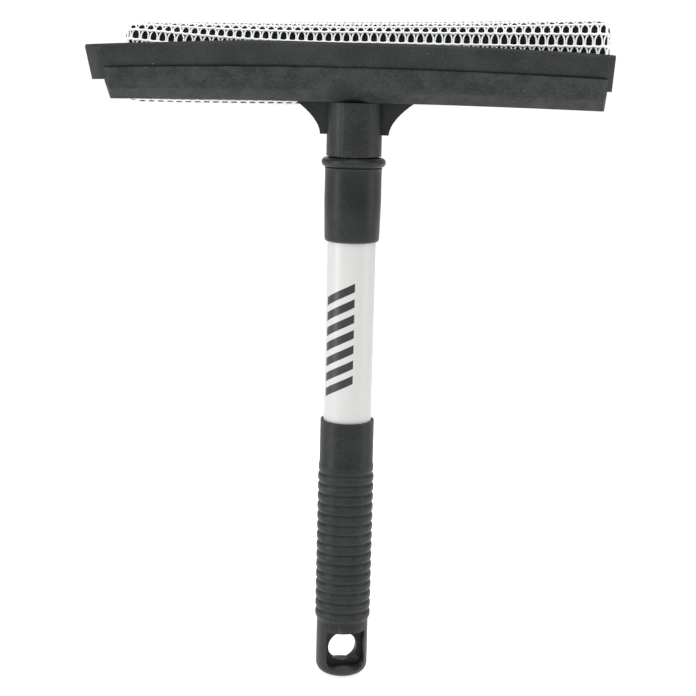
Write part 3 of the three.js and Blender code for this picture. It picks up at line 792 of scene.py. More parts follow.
@dataclass
class Handle:
    """What the hand holds: the ribbed grip, the coated tube and the collar that the head slides in."""

    finishes: Finishes
    end_radius: float = 12.1
    foot_radius: float = 7.5        # flat middle of the rounded end
    end_rounding: float = 4.6
    sleeve_radius: float = 12.4
    grip_top: float = 122.9
    grip_floor: float = 27.5
    rib_count: int = 16
    rib_first: float = 29.3
    rib_pitch: float = 4.73
    rib_radius: float = 13.0
    rib_gap: float = 0.24           # flat of the groove between two ribs
    rib_fullness: float = 3.0       # how square the ribs' section is
    rib_points: int = 5             # on each side of a rib's crest
    rib_run_in: float = 0.75        # the plain end stops this share of a pitch below the first rib
    top_rib_lower: float = 0.25
    groove_radius: float = 12.1
    mouth_rounding: float = 0.35
    grip_sides: int = 64
    # The first face is turned so that no edge of the turning lies close beside a pocket's wall.
    grip_start: float = math.radians(1.12)
    grip_sharp: float = math.radians(45)
    pocket_turn: float = math.radians(18)
    pocket_half: float = 9.0
    pocket_low: float = 3.5         # floor of the front pocket
    rear_pocket_low: float = 2.3
    pocket_high: float = 22.1
    pocket_corner: float = 4.5
    pocket_chamfer: float = 0.5
    pocket_reach: float = 2.0       # how far a pocket's cutter stands out of the grip
    rim_rounding: float = 0.25
    rim_angle: float = 0.6          # edges at the hang end that turn by more radians are rims
    web: float = 4.0
    hole_radius: float = 6.85
    hole_reach: float = 6.0         # half the length of the hole's cutter
    hole_up: float = 12.3
    tube_bottom: float = 28.3
    tube_top: float = 240.5
    tube_rounding: float = 0.3
    collar_bottom: float = 205.2
    collar_top: float = 242.8
    # The collar's side from its rolled-in foot to the flare under its bead: radius, height above the foot.
    collar_side: tuple[Point2, ...] = (
        (11.75, 0.1), (12.2, 0.6), (12.42, 1.6), (12.8, 18.8), (12.7, 28.8), (12.75, 32.0), (12.95, 32.95))
    bead_bottom: float = 238.4
    bead_radius: float = 14.4
    lip_rise: float = 0.35          # the mouth's edge stands up close under the head's socket

    def build(self) -> None:
        """Makes the grip, the tube and the collar."""
        dress(self.grip(), self.finishes.grip, "handle", ["hand_grip"])
        dress(self.tube(), self.finishes.coat, "handle", ["outer_tube"])
        dress(self.collar(), self.finishes.black, "handle", ["outer_collar"])

    def grip_profile(self) -> list[Point2]:
        """Works out the grip's outline from the middle of its foot up to its bore.

        Returns:
            Radius and height pairs in millimetres.
        """
        bulge = self.end_radius - self.foot_radius
        profile = [(0.0, 0.0)] + [
            (self.foot_radius + bulge * math.sin(a), self.end_rounding * (1 - math.cos(a)))
            for a in quarter(steps=8)]
        profile.append((self.end_radius, self.rib_first - self.rib_run_in * self.rib_pitch))
        for rib in range(self.rib_count):
            middle = self.rib_first + rib * self.rib_pitch
            # The top rib is a smaller one that runs out into the sleeve.
            top_rib = rib == self.rib_count - 1
            crest = self.rib_radius - (self.top_rib_lower if top_rib else 0.0)
            for step in range(-self.rib_points, self.rib_points + 1):
                share = step / self.rib_points
                swell = 1 - abs(share) ** self.rib_fullness
                floor = self.sleeve_radius if top_rib and step >= 0 else self.groove_radius
                profile.append((floor + (crest - floor) * swell,
                                middle + share * (self.rib_pitch - self.rib_gap) / 2))
        bore = TUBE_RADIUS + FIT
        mouth = [(self.sleeve_radius, profile[-1][1]), (self.sleeve_radius, self.grip_top),
                 (bore, self.grip_top), (bore, self.grip_floor)]
        profile += rounded(mouth, self.mouth_rounding, closed=False)[1:]
        return profile + [(0.0, self.grip_floor)]

    def pocket(self, turn: float, floor: float) -> bpy.types.Object:
        """Makes the cutter of one hang pocket.

        Args:
            turn: How far the pocket is turned from facing forwards.
            floor: Height of its floor.

        Returns:
            The cutter, with round lower corners and nearly square upper ones.
        """
        half, corner, chamfer = self.pocket_half, self.pocket_corner, self.pocket_chamfer
        lower = [(half - corner + corner * math.cos(a), floor + corner - corner * math.sin(a))
                 for a in quarter(steps=6)]
        outline = [(half - chamfer, self.pocket_high), (half, self.pocket_high - chamfer)]
        outline += lower + [(-x, z) for x, z in reversed(outline + lower)]
        rotation = Matrix.Rotation(turn, 4, "Z")
        depths = (self.web / 2, self.end_radius + self.pocket_reach)
        rings = [[rotation @ Vector((x * MM, -depth * MM, up(z))) for x, z in outline] for depth in depths]
        return swept("pocket", rings)

    def hole(self) -> bpy.types.Object:
        """Makes the cutter of the round hole in the web between the pockets.

        Returns:
            The cutter.
        """
        rotation = Matrix.Rotation(self.pocket_turn, 4, "Z")
        rings = [[rotation @ Vector((self.hole_radius * MM * math.cos(a), y * MM,
                                     up(self.hole_up + self.hole_radius * math.sin(a))))
                  for a in circle(count=48)] for y in (-self.hole_reach, self.hole_reach)]
        return swept("hole", rings)

    def grip(self) -> bpy.types.Object:
        """Makes the grip with its ribs, its pockets and the hang hole.

        Returns:
            The grip.
        """
        body = turned("hand_grip_moulded", metres(self.grip_profile()), self.grip_sides, self.grip_start)
        cut(body, [self.pocket(self.pocket_turn, self.pocket_low),
                   self.pocket(self.pocket_turn + math.pi, self.rear_pocket_low), self.hole()])
        self.round_pocket_rims(body)
        body.data.shade_smooth()
        body.data.set_sharp_from_angle(angle=self.grip_sharp)
        return body

    def round_pocket_rims(self, body: bpy.types.Object) -> None:
        """Rounds the edges of the pockets and of the hole, and leaves the ribs alone.

        Args:
            body: The grip.
        """
        limit = up(self.rib_first - self.rib_pitch)
        with editing(body.data) as work:
            rims = [e for e in work.edges if len(e.link_faces) == 2
                    and e.calc_face_angle() > self.rim_angle and max(v.co.z for v in e.verts) < limit]
            bmesh.ops.bevel(work, geom=rims, offset=self.rim_rounding * MM, segments=3, profile=0.5,
                            affect="EDGES", clamp_overlap=True)

    def tube(self) -> bpy.types.Object:
        """Makes the coated tube with its rolled edges.

        Returns:
            The tube.
        """
        inner = TUBE_RADIUS - TUBE_WALL
        profile = rounded([(inner, self.tube_bottom), (TUBE_RADIUS, self.tube_bottom),
                           (TUBE_RADIUS, self.tube_top), (inner, self.tube_top)], self.tube_rounding)
        return turned("outer_tube_coated", metres(profile), closed=True)

    def collar(self) -> bpy.types.Object:
        """Makes the collar, which swells a little and ends in a bead that the fingers pull against.

        Returns:
            The collar.
        """
        bore, mouth = TUBE_RADIUS + FIT, INNER_TUBE_RADIUS + FIT
        ledge = self.tube_top + FIT
        outline = [(bore, self.collar_bottom)]
        outline += [(radius, self.collar_bottom + rise) for radius, rise in self.collar_side]
        # The bead is a plain half round.
        middle, half = (self.collar_top + self.bead_bottom) / 2, (self.collar_top - self.bead_bottom) / 2
        upper = quarter(steps=6)
        outline += [(self.bead_radius - half + half * math.cos(a), middle + half * math.sin(a))
                    for a in [-a for a in reversed(upper[1:])] + upper]
        outline += [(mouth, self.collar_top + self.lip_rise), (mouth, ledge), (bore, ledge)]
        return turned("outer_collar_moulded", metres(outline), closed=True)


# ---------------------------------------------------------------- blade and its holder
@dataclass(frozen=True)
class Bow:
    """How far the holder's ends hang below its middle, in metres."""

    half_length: float
    bottom: float
    at_bottom: float = 1.08 * MM
    per_height: float = 0.079       # and this much more for each metre above its bottom

    def drop(self, x: float, height: float) -> float:
        """Returns how far a point at this x and height hangs down."""
        return (self.at_bottom + self.per_height * (height - self.bottom)) * (x / self.half_length) ** 2


@dataclass
class Blade:
    """The rubber blade and the strip that clamps it, both drawn out along the same bow, in metres."""

    finishes: Finishes
    lean: float = math.radians(37)
    width: float = 19.1 * MM
    thickness: float = 2.0 * MM
    lip_free: float = 9.3 * MM      # width of the free rubber, which has taken a set
    # Size, rate and start of each wave in the free rubber.
    waves: tuple[tuple[float, float, float], ...] = ((0.35 * MM, 4.4, 0.6), (0.2 * MM, 9.5, 2.0))
    cut_rounding: float = 0.22 * MM
    slot: float = 19.5 * MM         # from the lip down to the shelf under the rubber
    seat: float = 0.12 * MM         # between the clamp strip and the rubber's face
    clamp_height: float = 15.1 * MM
    # Corners of the strip's front in millimetres: how far forward and how high above its foot each lies,
    # and how far it stands in from the strip's left and right end.
    clamp_front: tuple[tuple[float, float, float, float], ...] = (
        (10.0, 0.0, 0.7, 0.5), (16.3, 5.0, 1.6, 1.0), (22.6, 14.6, 3.4, 2.0))
    peg_places: tuple[float, ...] = (-90.0, -30.0, 30.0, 90.0)
    peg_from_lip: float = 15.0 * MM
    peg_radius: float = 1.5 * MM
    peg_head_radius: float = 2.4 * MM
    peg_past_jaw: float = 1.0 * MM
    peg_head_past_jaw: float = 1.2 * MM
    peg_taper: float = 0.94         # a peg's far radius for each unit of its near one
    jaw_back: float = 4.3 * MM      # from the rubber's face to the back of the rear jaw
    stations: int = 64              # sections along the strip

    def __post_init__(self) -> None:
        """Takes the places of the blade and its holder from the frame."""
        rubber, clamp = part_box("rubber_blade"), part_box("blade_clamp")
        self.lip = (-rubber[0].y, rubber[1].z - self.thickness * math.sin(self.lean))
        self.rubber_ends = (rubber[0].x, rubber[1].x)
        self.bow = Bow(clamp[1].x, clamp[0].z + Bow.at_bottom)

    def build(self) -> None:
        """Makes the rubber and the clamp strip."""
        dress(self.rubber(), self.finishes.rubber, "head", ["rubber_blade"])
        dress(self.clamp(), self.finishes.holder, "head", ["blade_clamp"])

    def on_blade(self, down: float, out: float) -> Point2:
        """Finds a point of the blade's section.

        Args:
            down: Distance down the rubber from its lip.
            out: Distance in front of the rubber's face.

        Returns:
            How far forward and how high the point is.
        """
        sine, cosine = math.sin(self.lean), math.cos(self.lean)
        return (self.lip[0] - down * sine + out * cosine, self.lip[1] - down * cosine - out * sine)

    def at_height(self, height: float, out: float) -> Point2:
        """Returns the point of the line parallel to the rubber's face, out in front of it, at a height."""
        down = (self.lip[1] - out * math.sin(self.lean) - height) / math.cos(self.lean)
        return self.on_blade(down, out)

    def placed(self, x: float, point: Point2) -> Vector:
        """Returns a section point's place at this x, with the bow."""
        return Vector((x, -point[0], point[1] - self.bow.drop(x, point[1])))

    def lip_wave(self, x: float) -> float:
        """Returns how far the free rubber stands off its straight line at this x: it has taken a set."""
        share = x / self.bow.half_length
        return sum(size * math.sin(rate * share + start) for size, rate, start in self.waves)

    def rubber(self) -> bpy.types.Object:
        """Makes the rubber strip: a crisp lip, cut ends, and a slight wave along its free edge.

        Returns:
            The strip.
        """
        corners = [(0.0, 0.0), (0.0, -self.thickness), (self.width, -self.thickness), (self.width, 0.0)]
        outline = rounded(corners, self.cut_rounding, steps=2)
        start, end = self.rubber_ends
        rings = []
        for i in range(self.stations + 1):
            x = start + (end - start) * i / self.stations
            ring = []
            for down, out in outline:
                free = max(0.0, 1 - down / self.lip_free)
                ring.append(self.placed(x, self.on_blade(down, out + self.lip_wave(x) * free)))
            rings.append(ring)
        strip = swept("rubber_blade_moulded", rings, sharp=30)
        return soften_edges(strip, width_mm=0.2, degrees=55, segments=2)

    def clamp(self) -> bpy.types.Object:
        """Makes the clamp strip: two flat bands with a soft crease between them, and chamfered ends.

        Returns:
            The strip with its pegs.
        """
        bottom = self.bow.bottom
        inside = [
            self.at_height(bottom + self.clamp_height, self.seat), self.on_blade(self.slot, self.seat),
            self.on_blade(self.slot, -self.thickness), self.at_height(bottom, -self.thickness)]
        corners = [((forward * MM, bottom + rise * MM), left, right)
                   for forward, rise, left, right in self.clamp_front]
        corners += [(point, 0.0, 0.0) for point in inside]
        half = self.bow.half_length
        rings = []
        for i in range(self.stations + 1):
            share = 2 * i / self.stations - 1
            rings.append([self.placed(share * (half - (left if share < 0 else right) * MM), point)
                          for point, left, right in corners])
        strip = swept("blade_clamp_moulded", rings, sharp=8)
        soften_edges(strip, width_mm=0.45, degrees=9, segments=3)
        bake(strip)
        self.add_pegs(strip)
        strip.data.shade_smooth()
        strip.data.set_sharp_from_angle(angle=math.radians(50))
        return strip

    def add_pegs(self, strip: bpy.types.Object) -> None:
        """Adds the pegs that pass through the rubber, with their heads behind the rear jaw.

        Args:
            strip: The clamp strip.
        """
        jaw = -self.jaw_back
        shank = (self.peg_radius, self.seat / 2, jaw - self.peg_past_jaw)
        head = (self.peg_head_radius, jaw - FIT * MM, jaw - self.peg_head_past_jaw)
        with editing(strip.data) as work:
            for place in self.peg_places:
                for radius, near, far in (shank, head):
                    start = self.placed(place * MM, self.on_blade(self.peg_from_lip, near))
                    end = self.placed(place * MM, self.on_blade(self.peg_from_lip, far))
                    turn = (end - start).to_track_quat("Z", "Y").to_matrix().to_4x4()
                    bmesh.ops.create_cone(work, cap_ends=True, segments=24, radius1=radius,
                                          radius2=radius * self.peg_taper, depth=(end - start).length,
                                          matrix=Matrix.Translation((start + end) / 2) @ turn)


# ---------------------------------------------------------------- sponge pad
@dataclass(frozen=True)
class PadForm:
    """The pad's outer form in millimetres: a rounded bar whose ends close to an upright seam."""

    half_depth: float
    half_height: float
    half_length: float
    rounding: float = 4.8
    end_round: float = 2.4
    seam_share: float = 0.05        # how much of the depth is left at the seam
    round_loss: float = 0.6         # height lost for each millimetre that the end's rounding turns in
    flat_loss: float = 0.04         # and for each millimetre further in towards the seam
    corner_steps: int = 16

    @property
    def straight(self) -> float:
        """Half the length before the ends turn in."""
        return self.half_length - self.end_round

    @property
    def reach(self) -> float:
        """Half the length measured over the surface, from the middle to the seam."""
        return self.straight + self.end_round * math.pi / 2 + (
            self.half_depth * (1 - self.seam_share) - self.end_round)

    def section(self) -> tuple[np.ndarray, np.ndarray, np.ndarray]:
        """Works out the pad's outline across its length.

        Returns:
            Distance round the outline, depth and height, from the foot of the front face upwards.
        """
        radius = self.rounding
        centres = [(-1, 1), (1, 1), (1, -1), (-1, -1)]
        points = []
        for corner, (side, level) in enumerate(centres):
            for step in range(self.corner_steps + 1):
                angle = math.pi - corner * math.pi / 2 - step / self.corner_steps * math.pi / 2
                points.append((side * (self.half_depth - radius) + radius * math.cos(angle),
                               level * (self.half_height - radius) + radius * math.sin(angle)))
        outline = np.array([points[-1]] + points)
        around = np.concatenate([[0.0], np.cumsum(np.linalg.norm(np.diff(outline, axis=0), axis=1))])
        return around, outline[:, 0], outline[:, 1]

    @property
    def girth(self) -> float:
        """The length once round the pad."""
        return float(self.section()[0][-1])

    def surface(self, along: np.ndarray, around: np.ndarray) -> np.ndarray:
        """Finds places on the form.

        Args:
            along: Distances over the surface from mid length, towards +X.
            around: Distances round the outline from the foot of the front face.

        Returns:
            One row of length, depth and height from the pad's middle for each.
        """
        table, depth, height = self.section()
        turn = np.mod(around, table[-1])
        past = np.maximum(0.0, np.abs(along) - self.straight)
        angle = np.minimum(past / self.end_round, math.pi / 2)
        inset = self.end_round * (1 - np.cos(angle))
        inward = np.maximum(0.0, past - self.end_round * math.pi / 2)
        length = np.sign(along) * (np.minimum(np.abs(along), self.straight)
                                   + self.end_round * np.sin(angle))
        across = np.maximum(self.seam_share, 1 - (inset + inward) / self.half_depth)
        tall = (1 - self.round_loss * inset / self.half_height
                - self.flat_loss * inward / self.half_height)
        return np.stack([length, np.interp(turn, table, depth) * across,
                         np.interp(turn, table, height) * tall], axis=1)


@dataclass(frozen=True)
class Thread:
    """One thread of the net, in millimetres over the pad's surface."""

    along: np.ndarray
    around: np.ndarray
    closed: bool                    # whether it closes on itself
    radius: float
    lift: float = 0.0               # how much further out it lies than the others


@dataclass(frozen=True)
class Pull:
    """How the net came to lie askew when it was drawn over the foam, in millimetres."""

    left_from: float = 5.0          # the rows climb towards the left from here, over this length
    left_run: float = 102.0
    left_most: float = 1.2          # and go on past it up to this share
    climb_curved: float = 4.35
    climb_straight: float = 1.2
    right_run: float = 100.0
    spread: float = 2.8             # the rows of the front part by this much at the right end
    front_low: float = 4.0          # the front, measured round the pad
    front_high: float = 34.0
    lean: float = 0.6               # how far the arches lean, and by how much more at the left end
    left_lean: float = 2.4
    lean_start: float = 6.0
    settle: float = 20.0            # the lean fades out over this length before each end

    def apply(self, form: PadForm, along: np.ndarray,
              around: np.ndarray) -> tuple[np.ndarray, np.ndarray]:
        """Pulls places of the net askew.

        Args:
            form: The pad's form.
            along: Distances along the pad.
            around: Distances round it.

        Returns:
            The same after the pull: rows climb towards the left end and spread in front at the
            right end, and arches lean.
        """
        left = np.clip((-along - self.left_from) / self.left_run, 0, self.left_most)
        climb = self.climb_curved * left ** 2 + self.climb_straight * left
        right = np.clip(along / self.right_run, 0, 1)
        turn = np.mod(around, form.girth)
        fade = np.sin(math.pi * (self.front_high - turn) / (self.front_high - self.front_low))
        front = np.where((turn > self.front_low) & (turn < self.front_high), fade, 0.0)
        climb = climb - self.spread * right * front
        swing = np.sin(2 * math.pi * (around - self.lean_start) / form.girth)
        end = np.clip((form.reach - np.abs(along)) / self.settle, 0, 1)
        return along + (self.lean + self.left_lean * left) * swing * end, around + climb


@dataclass(frozen=True)
class Hem:
    """The folded edge that gathers one end of the net, with its overcast stitches, in millimetres."""

    side: int                       # which end, -1 or 1
    centre: Vector
    half: float                     # half its length
    half_wide: float = 0.75         # along the pad
    half_deep: float = 1.1          # across it
    sway: float = 0.25              # how far it wanders from a straight line
    sway_rate: float = 9.0
    thinnest: float = 0.02          # keeps its tips from closing to a point
    steps: int = 32
    fold_points: int = 16           # round its section
    turns: int = 11                 # of the stitches' thread
    turn_steps: int = 16
    stitch_wide: float = 0.95
    stitch_deep: float = 1.3
    stitch_share: float = 0.94      # how much of the hem they cover
    stitch_rise: float = 0.4        # slope of their winding
    stitch_radius: float = 0.28

    def fold(self, name: str) -> bpy.types.Object:
        """Makes the folded edge.

        Args:
            name: The piece's name.

        Returns:
            A rounded bar that swells in its middle.
        """
        rings = []
        for i in range(self.steps + 1):
            share = 2 * i / self.steps - 1
            fat = math.sqrt(max(self.thinnest, 1 - share ** 4))
            bend = self.sway * math.sin(self.sway_rate * share)
            rings.append([(self.centre + Vector((self.side * self.half_wide * fat * math.cos(a),
                                                 bend + self.half_deep * fat * math.sin(a),
                                                 self.half * share))) * MM
                          for a in circle(self.fold_points)])
        return swept(name, rings, sharp=60)

    def stitches(self) -> bpy.types.Object:
        """Makes the thread that winds round the folded edge.

        Returns:
            The winding thread.
        """
        wide, deep, count = self.side * self.stitch_wide, self.stitch_deep, self.turns * self.turn_steps
        rings = []
        for i in range(count + 1):
            angle = 2 * math.pi * i / self.turn_steps
            share = self.stitch_share * (2 * i / count - 1)
            middle = self.centre + Vector((wide * math.cos(angle), deep * math.sin(angle),
                                           self.half * share))
            run = Vector((-wide * math.sin(angle), deep * math.cos(angle), self.stitch_rise)).normalized()
            flat = run.cross(Vector((0, 0, 1))).normalized()
            tall = flat.cross(run)
            rings.append([(middle + self.stitch_radius * (flat * math.cos(b) + tall * math.sin(b))) * MM
                          for b in circle(count=6)])
        return swept("stitches", rings, sharp=80)


@dataclass
class SpongePad:
    """The foam, swelled by a cloth simulation, the net knitted round it and its sewn ends."""

    finishes: Finishes
    tilt: float = 0.0244            # the pad sits higher towards +X, by this much for each unit
    end_growth: float = 1.2         # how much taller its ends are than its middle
    net_wall: float = 1.0
    left_proud: float = 4.0         # how far the net stands past the plain solids of its seams
    right_proud: float = 2.6
    rise: float = 1.2               # the soft pad sits this much higher than its plain solid
    front_limit: float = 4.4        # the foam's front where the net and the head's plate hold it
    plate_back: float = 6.9         # the foam's front behind the stiff plate
    plate_margin: float = 0.4       # the foam gives way this far round the plate
    under_net: float = 0.4          # the foam starts this much smaller than the net's inside, and swells
    foam_sides: int = 48
    foam_rings: int = 72
    voxel: float = 3.4              # size of the foam's faces before they are split once
    swell_cap: float = 1.5          # no point of the foam swells further than this
    pressure: float = 4.0
    frames: int = 20
    wale: float = 4.1               # spacing of the net's arches along the pad
    course: float = 4.55            # spacing of its rows
    thread: float = 0.36            # half the width of the threads round the pad
    row_thread: float = 0.54        # and of those along it, which lie a little further out
    row_lift: float = 0.1
    row_points: int = 4             # points of a thread along the pad for each arch
    row_sag: float = 0.16           # how far the arches pull the threads along the pad out of line
    pillar_gap: float = 0.36        # half the space between the two threads of a pillar
    # Where the points of a thread round the pad lie within a row: close where it bends from its pillar.
    arch_steps: tuple[float, ...] = (0.0, 0.25, 0.5, 0.66, 0.8, 0.92)
    arch_from: float = 0.3          # the share of a row where a pillar's threads start to part
    arch_power: float = 2.6         # and how late in the row most of their bend comes
    thread_sides: int = 6
    thread_flat: float = 0.8        # a thread's thickness for each unit of its width
    end_margin: float = 0.3         # the threads stop this far short of the seam
    hem_share: float = 0.72         # of the pad's height
    hem_inset: float = 0.9          # from the pad's end to the middle of its hem
    pull: Pull = Pull()

    def __post_init__(self) -> None:
        """Takes the pad's size and middle from the frame."""
        low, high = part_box("net_sleeve")
        left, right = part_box("net_seam_left")[0].x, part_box("net_seam_right")[1].x
        left, right = left - self.left_proud * MM, right + self.right_proud * MM
        self.middle = np.array([(left + right) / 2, (low.y + high.y) / 2, (low.z + high.z) / 2]) / MM
        self.middle[2] += self.rise
        self.form = PadForm((high.y - low.y) / MM / 2 - self.thread, (high.z - low.z) / MM / 2 - self.thread,
                            (right - left) / MM / 2 - self.thread)
        self.plate = [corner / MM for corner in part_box("sponge_plate")]

    def build(self) -> None:
        """Makes the foam, then the net on it, then the seams."""
        foam = self.foam()
        skin = BVHTree.FromObject(foam, bpy.context.evaluated_depsgraph_get())
        net = self.net(skin)
        self.finish_foam(foam)
        dress(foam, self.finishes.foam, "head", ["sponge_core"])
        seams = [self.seam(-1, "left"), self.seam(1, "right")]
        for piece, node in zip([net] + seams, ("net_sleeve", "net_seam_left", "net_seam_right")):
            dress(piece, self.finishes.thread, "head", [node])
        self.form.girth * MM

    def foam(self) -> bpy.types.Object:
        """Makes the foam and swells it.

        Returns:
            The foam before it is tilted and fitted round the plate.
        """
        inset = self.net_wall + self.under_net
        form = PadForm(self.form.half_depth - inset, self.form.half_height - inset,
                       self.form.half_length - inset, self.form.rounding - inset,
                       self.form.end_round)
        around = np.linspace(0, form.girth, self.foam_sides, endpoint=False)
        rings = []
        for along in np.linspace(-form.reach, form.reach, self.foam_rings):
            places = form.surface(np.full(self.foam_sides, along), around) + self.middle
            rings.append([Vector(p * MM) for p in places])
        foam = swept("sponge_core_foam", rings)
        remesh = foam.modifiers.new("remesh", "REMESH")
        remesh.mode, remesh.voxel_size = "VOXEL", self.voxel * MM
        bake(foam)
        rest = self.places(foam)
        moved = self.simulated(foam)
        change = moved - rest
        furthest = np.linalg.norm(change, axis=1).max()
        change *= min(1.0, self.swell_cap * MM / max(furthest, TINY))
        swelled = rest + change
        # The front lies flat against the head.
        swelled[:, 1] = np.maximum(swelled[:, 1], self.front_limit * MM)
        self.set_places(foam, swelled)
        foam.modifiers.new("smooth skin", "SUBSURF").levels = 1
        bake(foam)
        foam.data.shade_smooth()
        return foam

    @staticmethod
    def places(piece: bpy.types.Object) -> np.ndarray:
        """Reads a piece's vertices.

        Args:
            piece: The piece, with or without modifiers that have run.

        Returns:
            One row for each vertex.
        """
        flat = np.zeros(len(piece.data.vertices) * 3)
        piece.data.vertices.foreach_get("co", flat)
        return flat.reshape(-1, 3)

    @staticmethod
    def set_places(piece: bpy.types.Object, places: np.ndarray) -> None:
        """Moves the piece's vertices."""
        piece.data.vertices.foreach_set("co", places.astype(np.float32).ravel())
        piece.data.update()

    def simulated(self, foam: bpy.types.Object) -> np.ndarray:
        """Swells the foam with a cloth simulation.

        Args:
            foam: The remeshed foam.

        Returns:
            Its vertices after the simulation.
        """
        cloth = foam.modifiers.new("swell", "CLOTH")
        cloth.settings.use_pressure = True
        cloth.settings.uniform_pressure_force = self.pressure
        cloth.settings.effector_weights.gravity = 0.0
        cloth.collision_settings.use_collision = False
        cloth.point_cache.frame_start, cloth.point_cache.frame_end = 1, self.frames
        scene = bpy.context.scene
        for number in range(1, self.frames + 1):
            scene.frame_set(number)
        result = self.places(foam.evaluated_get(bpy.context.evaluated_depsgraph_get()))
        foam.modifiers.clear()
        scene.frame_set(1)
        return result

    def leaned(self, places: np.ndarray) -> np.ndarray:
        """Tilts the pad, and makes its ends a little taller than its middle.

        Args:
            places: Places in metres.

        Returns:
            Where they come to lie.
        """
        result = places.copy()
        away = places[:, 0] - self.middle[0] * MM
        level = (places[:, 2] / MM - self.middle[2]) / self.form.half_height
        grown = self.end_growth * (away / (self.form.half_length * MM)) ** 2 * (0.5 + 0.5 * level)
        result[:, 2] += self.tilt * away + grown * MM
        return result

    def finish_foam(self, foam: bpy.types.Object) -> None:
        """Tilts the foam and lets it give way round the stiff plate.

        Args:
            foam: The swelled foam.
        """
        places = self.leaned(self.places(foam))
        low, high = self.plate
        margin = self.plate_margin
        inside = ((places[:, 0] > (low.x - margin) * MM) & (places[:, 0] < (high.x + margin) * MM)
                  & (places[:, 2] > (low.z - margin) * MM) & (places[:, 2] < (high.z + margin) * MM))
        places[:, 1] = np.where(inside, np.maximum(places[:, 1], self.plate_back * MM), places[:, 1])
        self.set_places(foam, places)

    def net(self, skin: BVHTree) -> bpy.types.Object:
        """Knits the net on the foam's skin.

        Zigzag threads run round the pad and join in pairs to pillars, and straight threads run along it.

        Args:
            skin: The foam's surface.

        Returns:
            The zigzag threads and the straight threads, as one knitted piece.
        """
        girth = self.form.girth
        rows = 2 * round(girth / self.course / 2)
        course = girth / rows
        columns = 2 * math.floor(self.form.reach / self.wale)
        first = -columns / 2 * self.wale
        gap = self.pillar_gap
        threads = []
        for column in range(columns + 1):
            for side in (-1, 1):
                along, around = [], []
                for row in range(rows):
                    here = side if row % 2 == 0 else -side
                    pillar = first + (column + (0 if row % 2 == 0 else side * 0.5)) * self.wale
                    for share in self.arch_steps:
                        bend = max(0.0, (share - self.arch_from) / (1 - self.arch_from)) ** self.arch_power
                        along.append(pillar + here * (gap + (self.wale / 2 - 2 * gap) * bend))
                        around.append((row + share) * course)
                threads.append(Thread(np.array(along), np.array(around), True, self.thread))
        for row in range(rows):
            along = np.linspace(first, -first, columns * self.row_points + 1)
            phase = 0.0 if row % 2 == 0 else math.pi
            sag = self.row_sag * np.cos(2 * math.pi * (along - first) / self.wale + phase)
            threads.append(Thread(along, row * course + sag, False, self.row_thread, self.row_lift))
        return self.knit("net_sleeve_knitted", threads, skin)

    def knit(self, name: str, threads: Sequence[Thread], skin: BVHTree) -> bpy.types.Object:
        """Lays threads on the foam as fine flattened tubes.

        Args:
            name: The piece's name.
            threads: The threads.
            skin: The foam's surface.

        Returns:
            The threads as one piece.
        """
        sides = self.thread_sides
        turn = np.linspace(0, 2 * math.pi, sides, endpoint=False)
        limit = self.form.reach - self.end_margin
        vertices, faces, count = [], [], 0
        for thread in threads:
            radius, closed = thread.radius, thread.closed
            along, around = self.pull.apply(self.form, thread.along, thread.around)
            along = np.clip(along, -limit, limit)
            places, out = self.on_skin(along, around, skin)
            places += out * (radius * self.thread_flat + thread.lift) * MM
            if closed:
                run = np.roll(places, -1, axis=0) - np.roll(places, 1, axis=0)
            else:
                run = np.gradient(places, axis=0)
            run /= np.maximum(np.linalg.norm(run, axis=1, keepdims=True), TINY)
            wide = np.cross(run, out)
            wide /= np.maximum(np.linalg.norm(wide, axis=1, keepdims=True), TINY)
            ring = (places[:, None] + radius * MM * (
                wide[:, None] * np.cos(turn)[None, :, None]
                + self.thread_flat * np.cross(wide, run)[:, None] * np.sin(turn)[None, :, None]))
            vertices.append(self.leaned(ring.reshape(-1, 3)))
            size = len(places)
            last = size if closed else size - 1
            start = count + np.arange(last)[:, None] * sides
            following = count + (np.arange(1, last + 1) % size)[:, None] * sides
            i, j = np.arange(sides)[None], (np.arange(sides)[None] + 1) % sides
            faces.append(np.stack([start + i, start + j, following + j, following + i],
                                  axis=2).reshape(-1, 4))
            count += size * sides
        return new_piece(name, np.concatenate(vertices).tolist(), np.concatenate(faces).tolist(),
                         sharp=180, mend=False)

    def on_skin(self, along: np.ndarray, around: np.ndarray,
                skin: BVHTree) -> tuple[np.ndarray, np.ndarray]:
        """Finds where the net touches the foam.

        Args:
            along: Distances along the pad.
            around: Distances round it.
            skin: The foam's surface.

        Returns:
            Places in metres and the outward directions there.
        """
        step = 0.2              # the slope is taken over this many millimetres to each side
        facing_end = 0.7        # past this much slant along the pad, a place belongs to an end
        above, reach = 5.0, 9.0         # where the search for the foam starts, and how far it goes
        # Which way is out: depth and height say it nearly alone, and on the ends the length does.
        weight = np.array([0.02, 1.0, 1.0])
        here = self.form.surface(along, around)
        over = self.form.surface(along + step, around) - self.form.surface(along - step, around)
        past = self.form.surface(along, around + step) - self.form.surface(along, around - step)
        out = np.cross(past, over)
        out /= np.maximum(np.linalg.norm(out, axis=1, keepdims=True), TINY)
        outward = np.sign((out * here * weight).sum(axis=1))
        at_end = np.abs(out[:, 0]) > facing_end
        outward = np.where(at_end, np.sign(out[:, 0] * here[:, 0]), outward)
        out *= np.where(outward == 0, 1, outward)[:, None]
        places = (here + self.middle) * MM
        for i in range(len(places)):
            direction = Vector(out[i])
            origin = Vector(places[i]) + direction * above * MM
            hit = skin.ray_cast(origin, -direction, reach * MM)[0]
            if hit is None:
                # Past a rounded corner of the foam, the net takes the nearest of its skin.
                hit, facing = skin.find_nearest(Vector(places[i]))[:2]
                out[i] = facing
            places[i] = hit
        return places, out

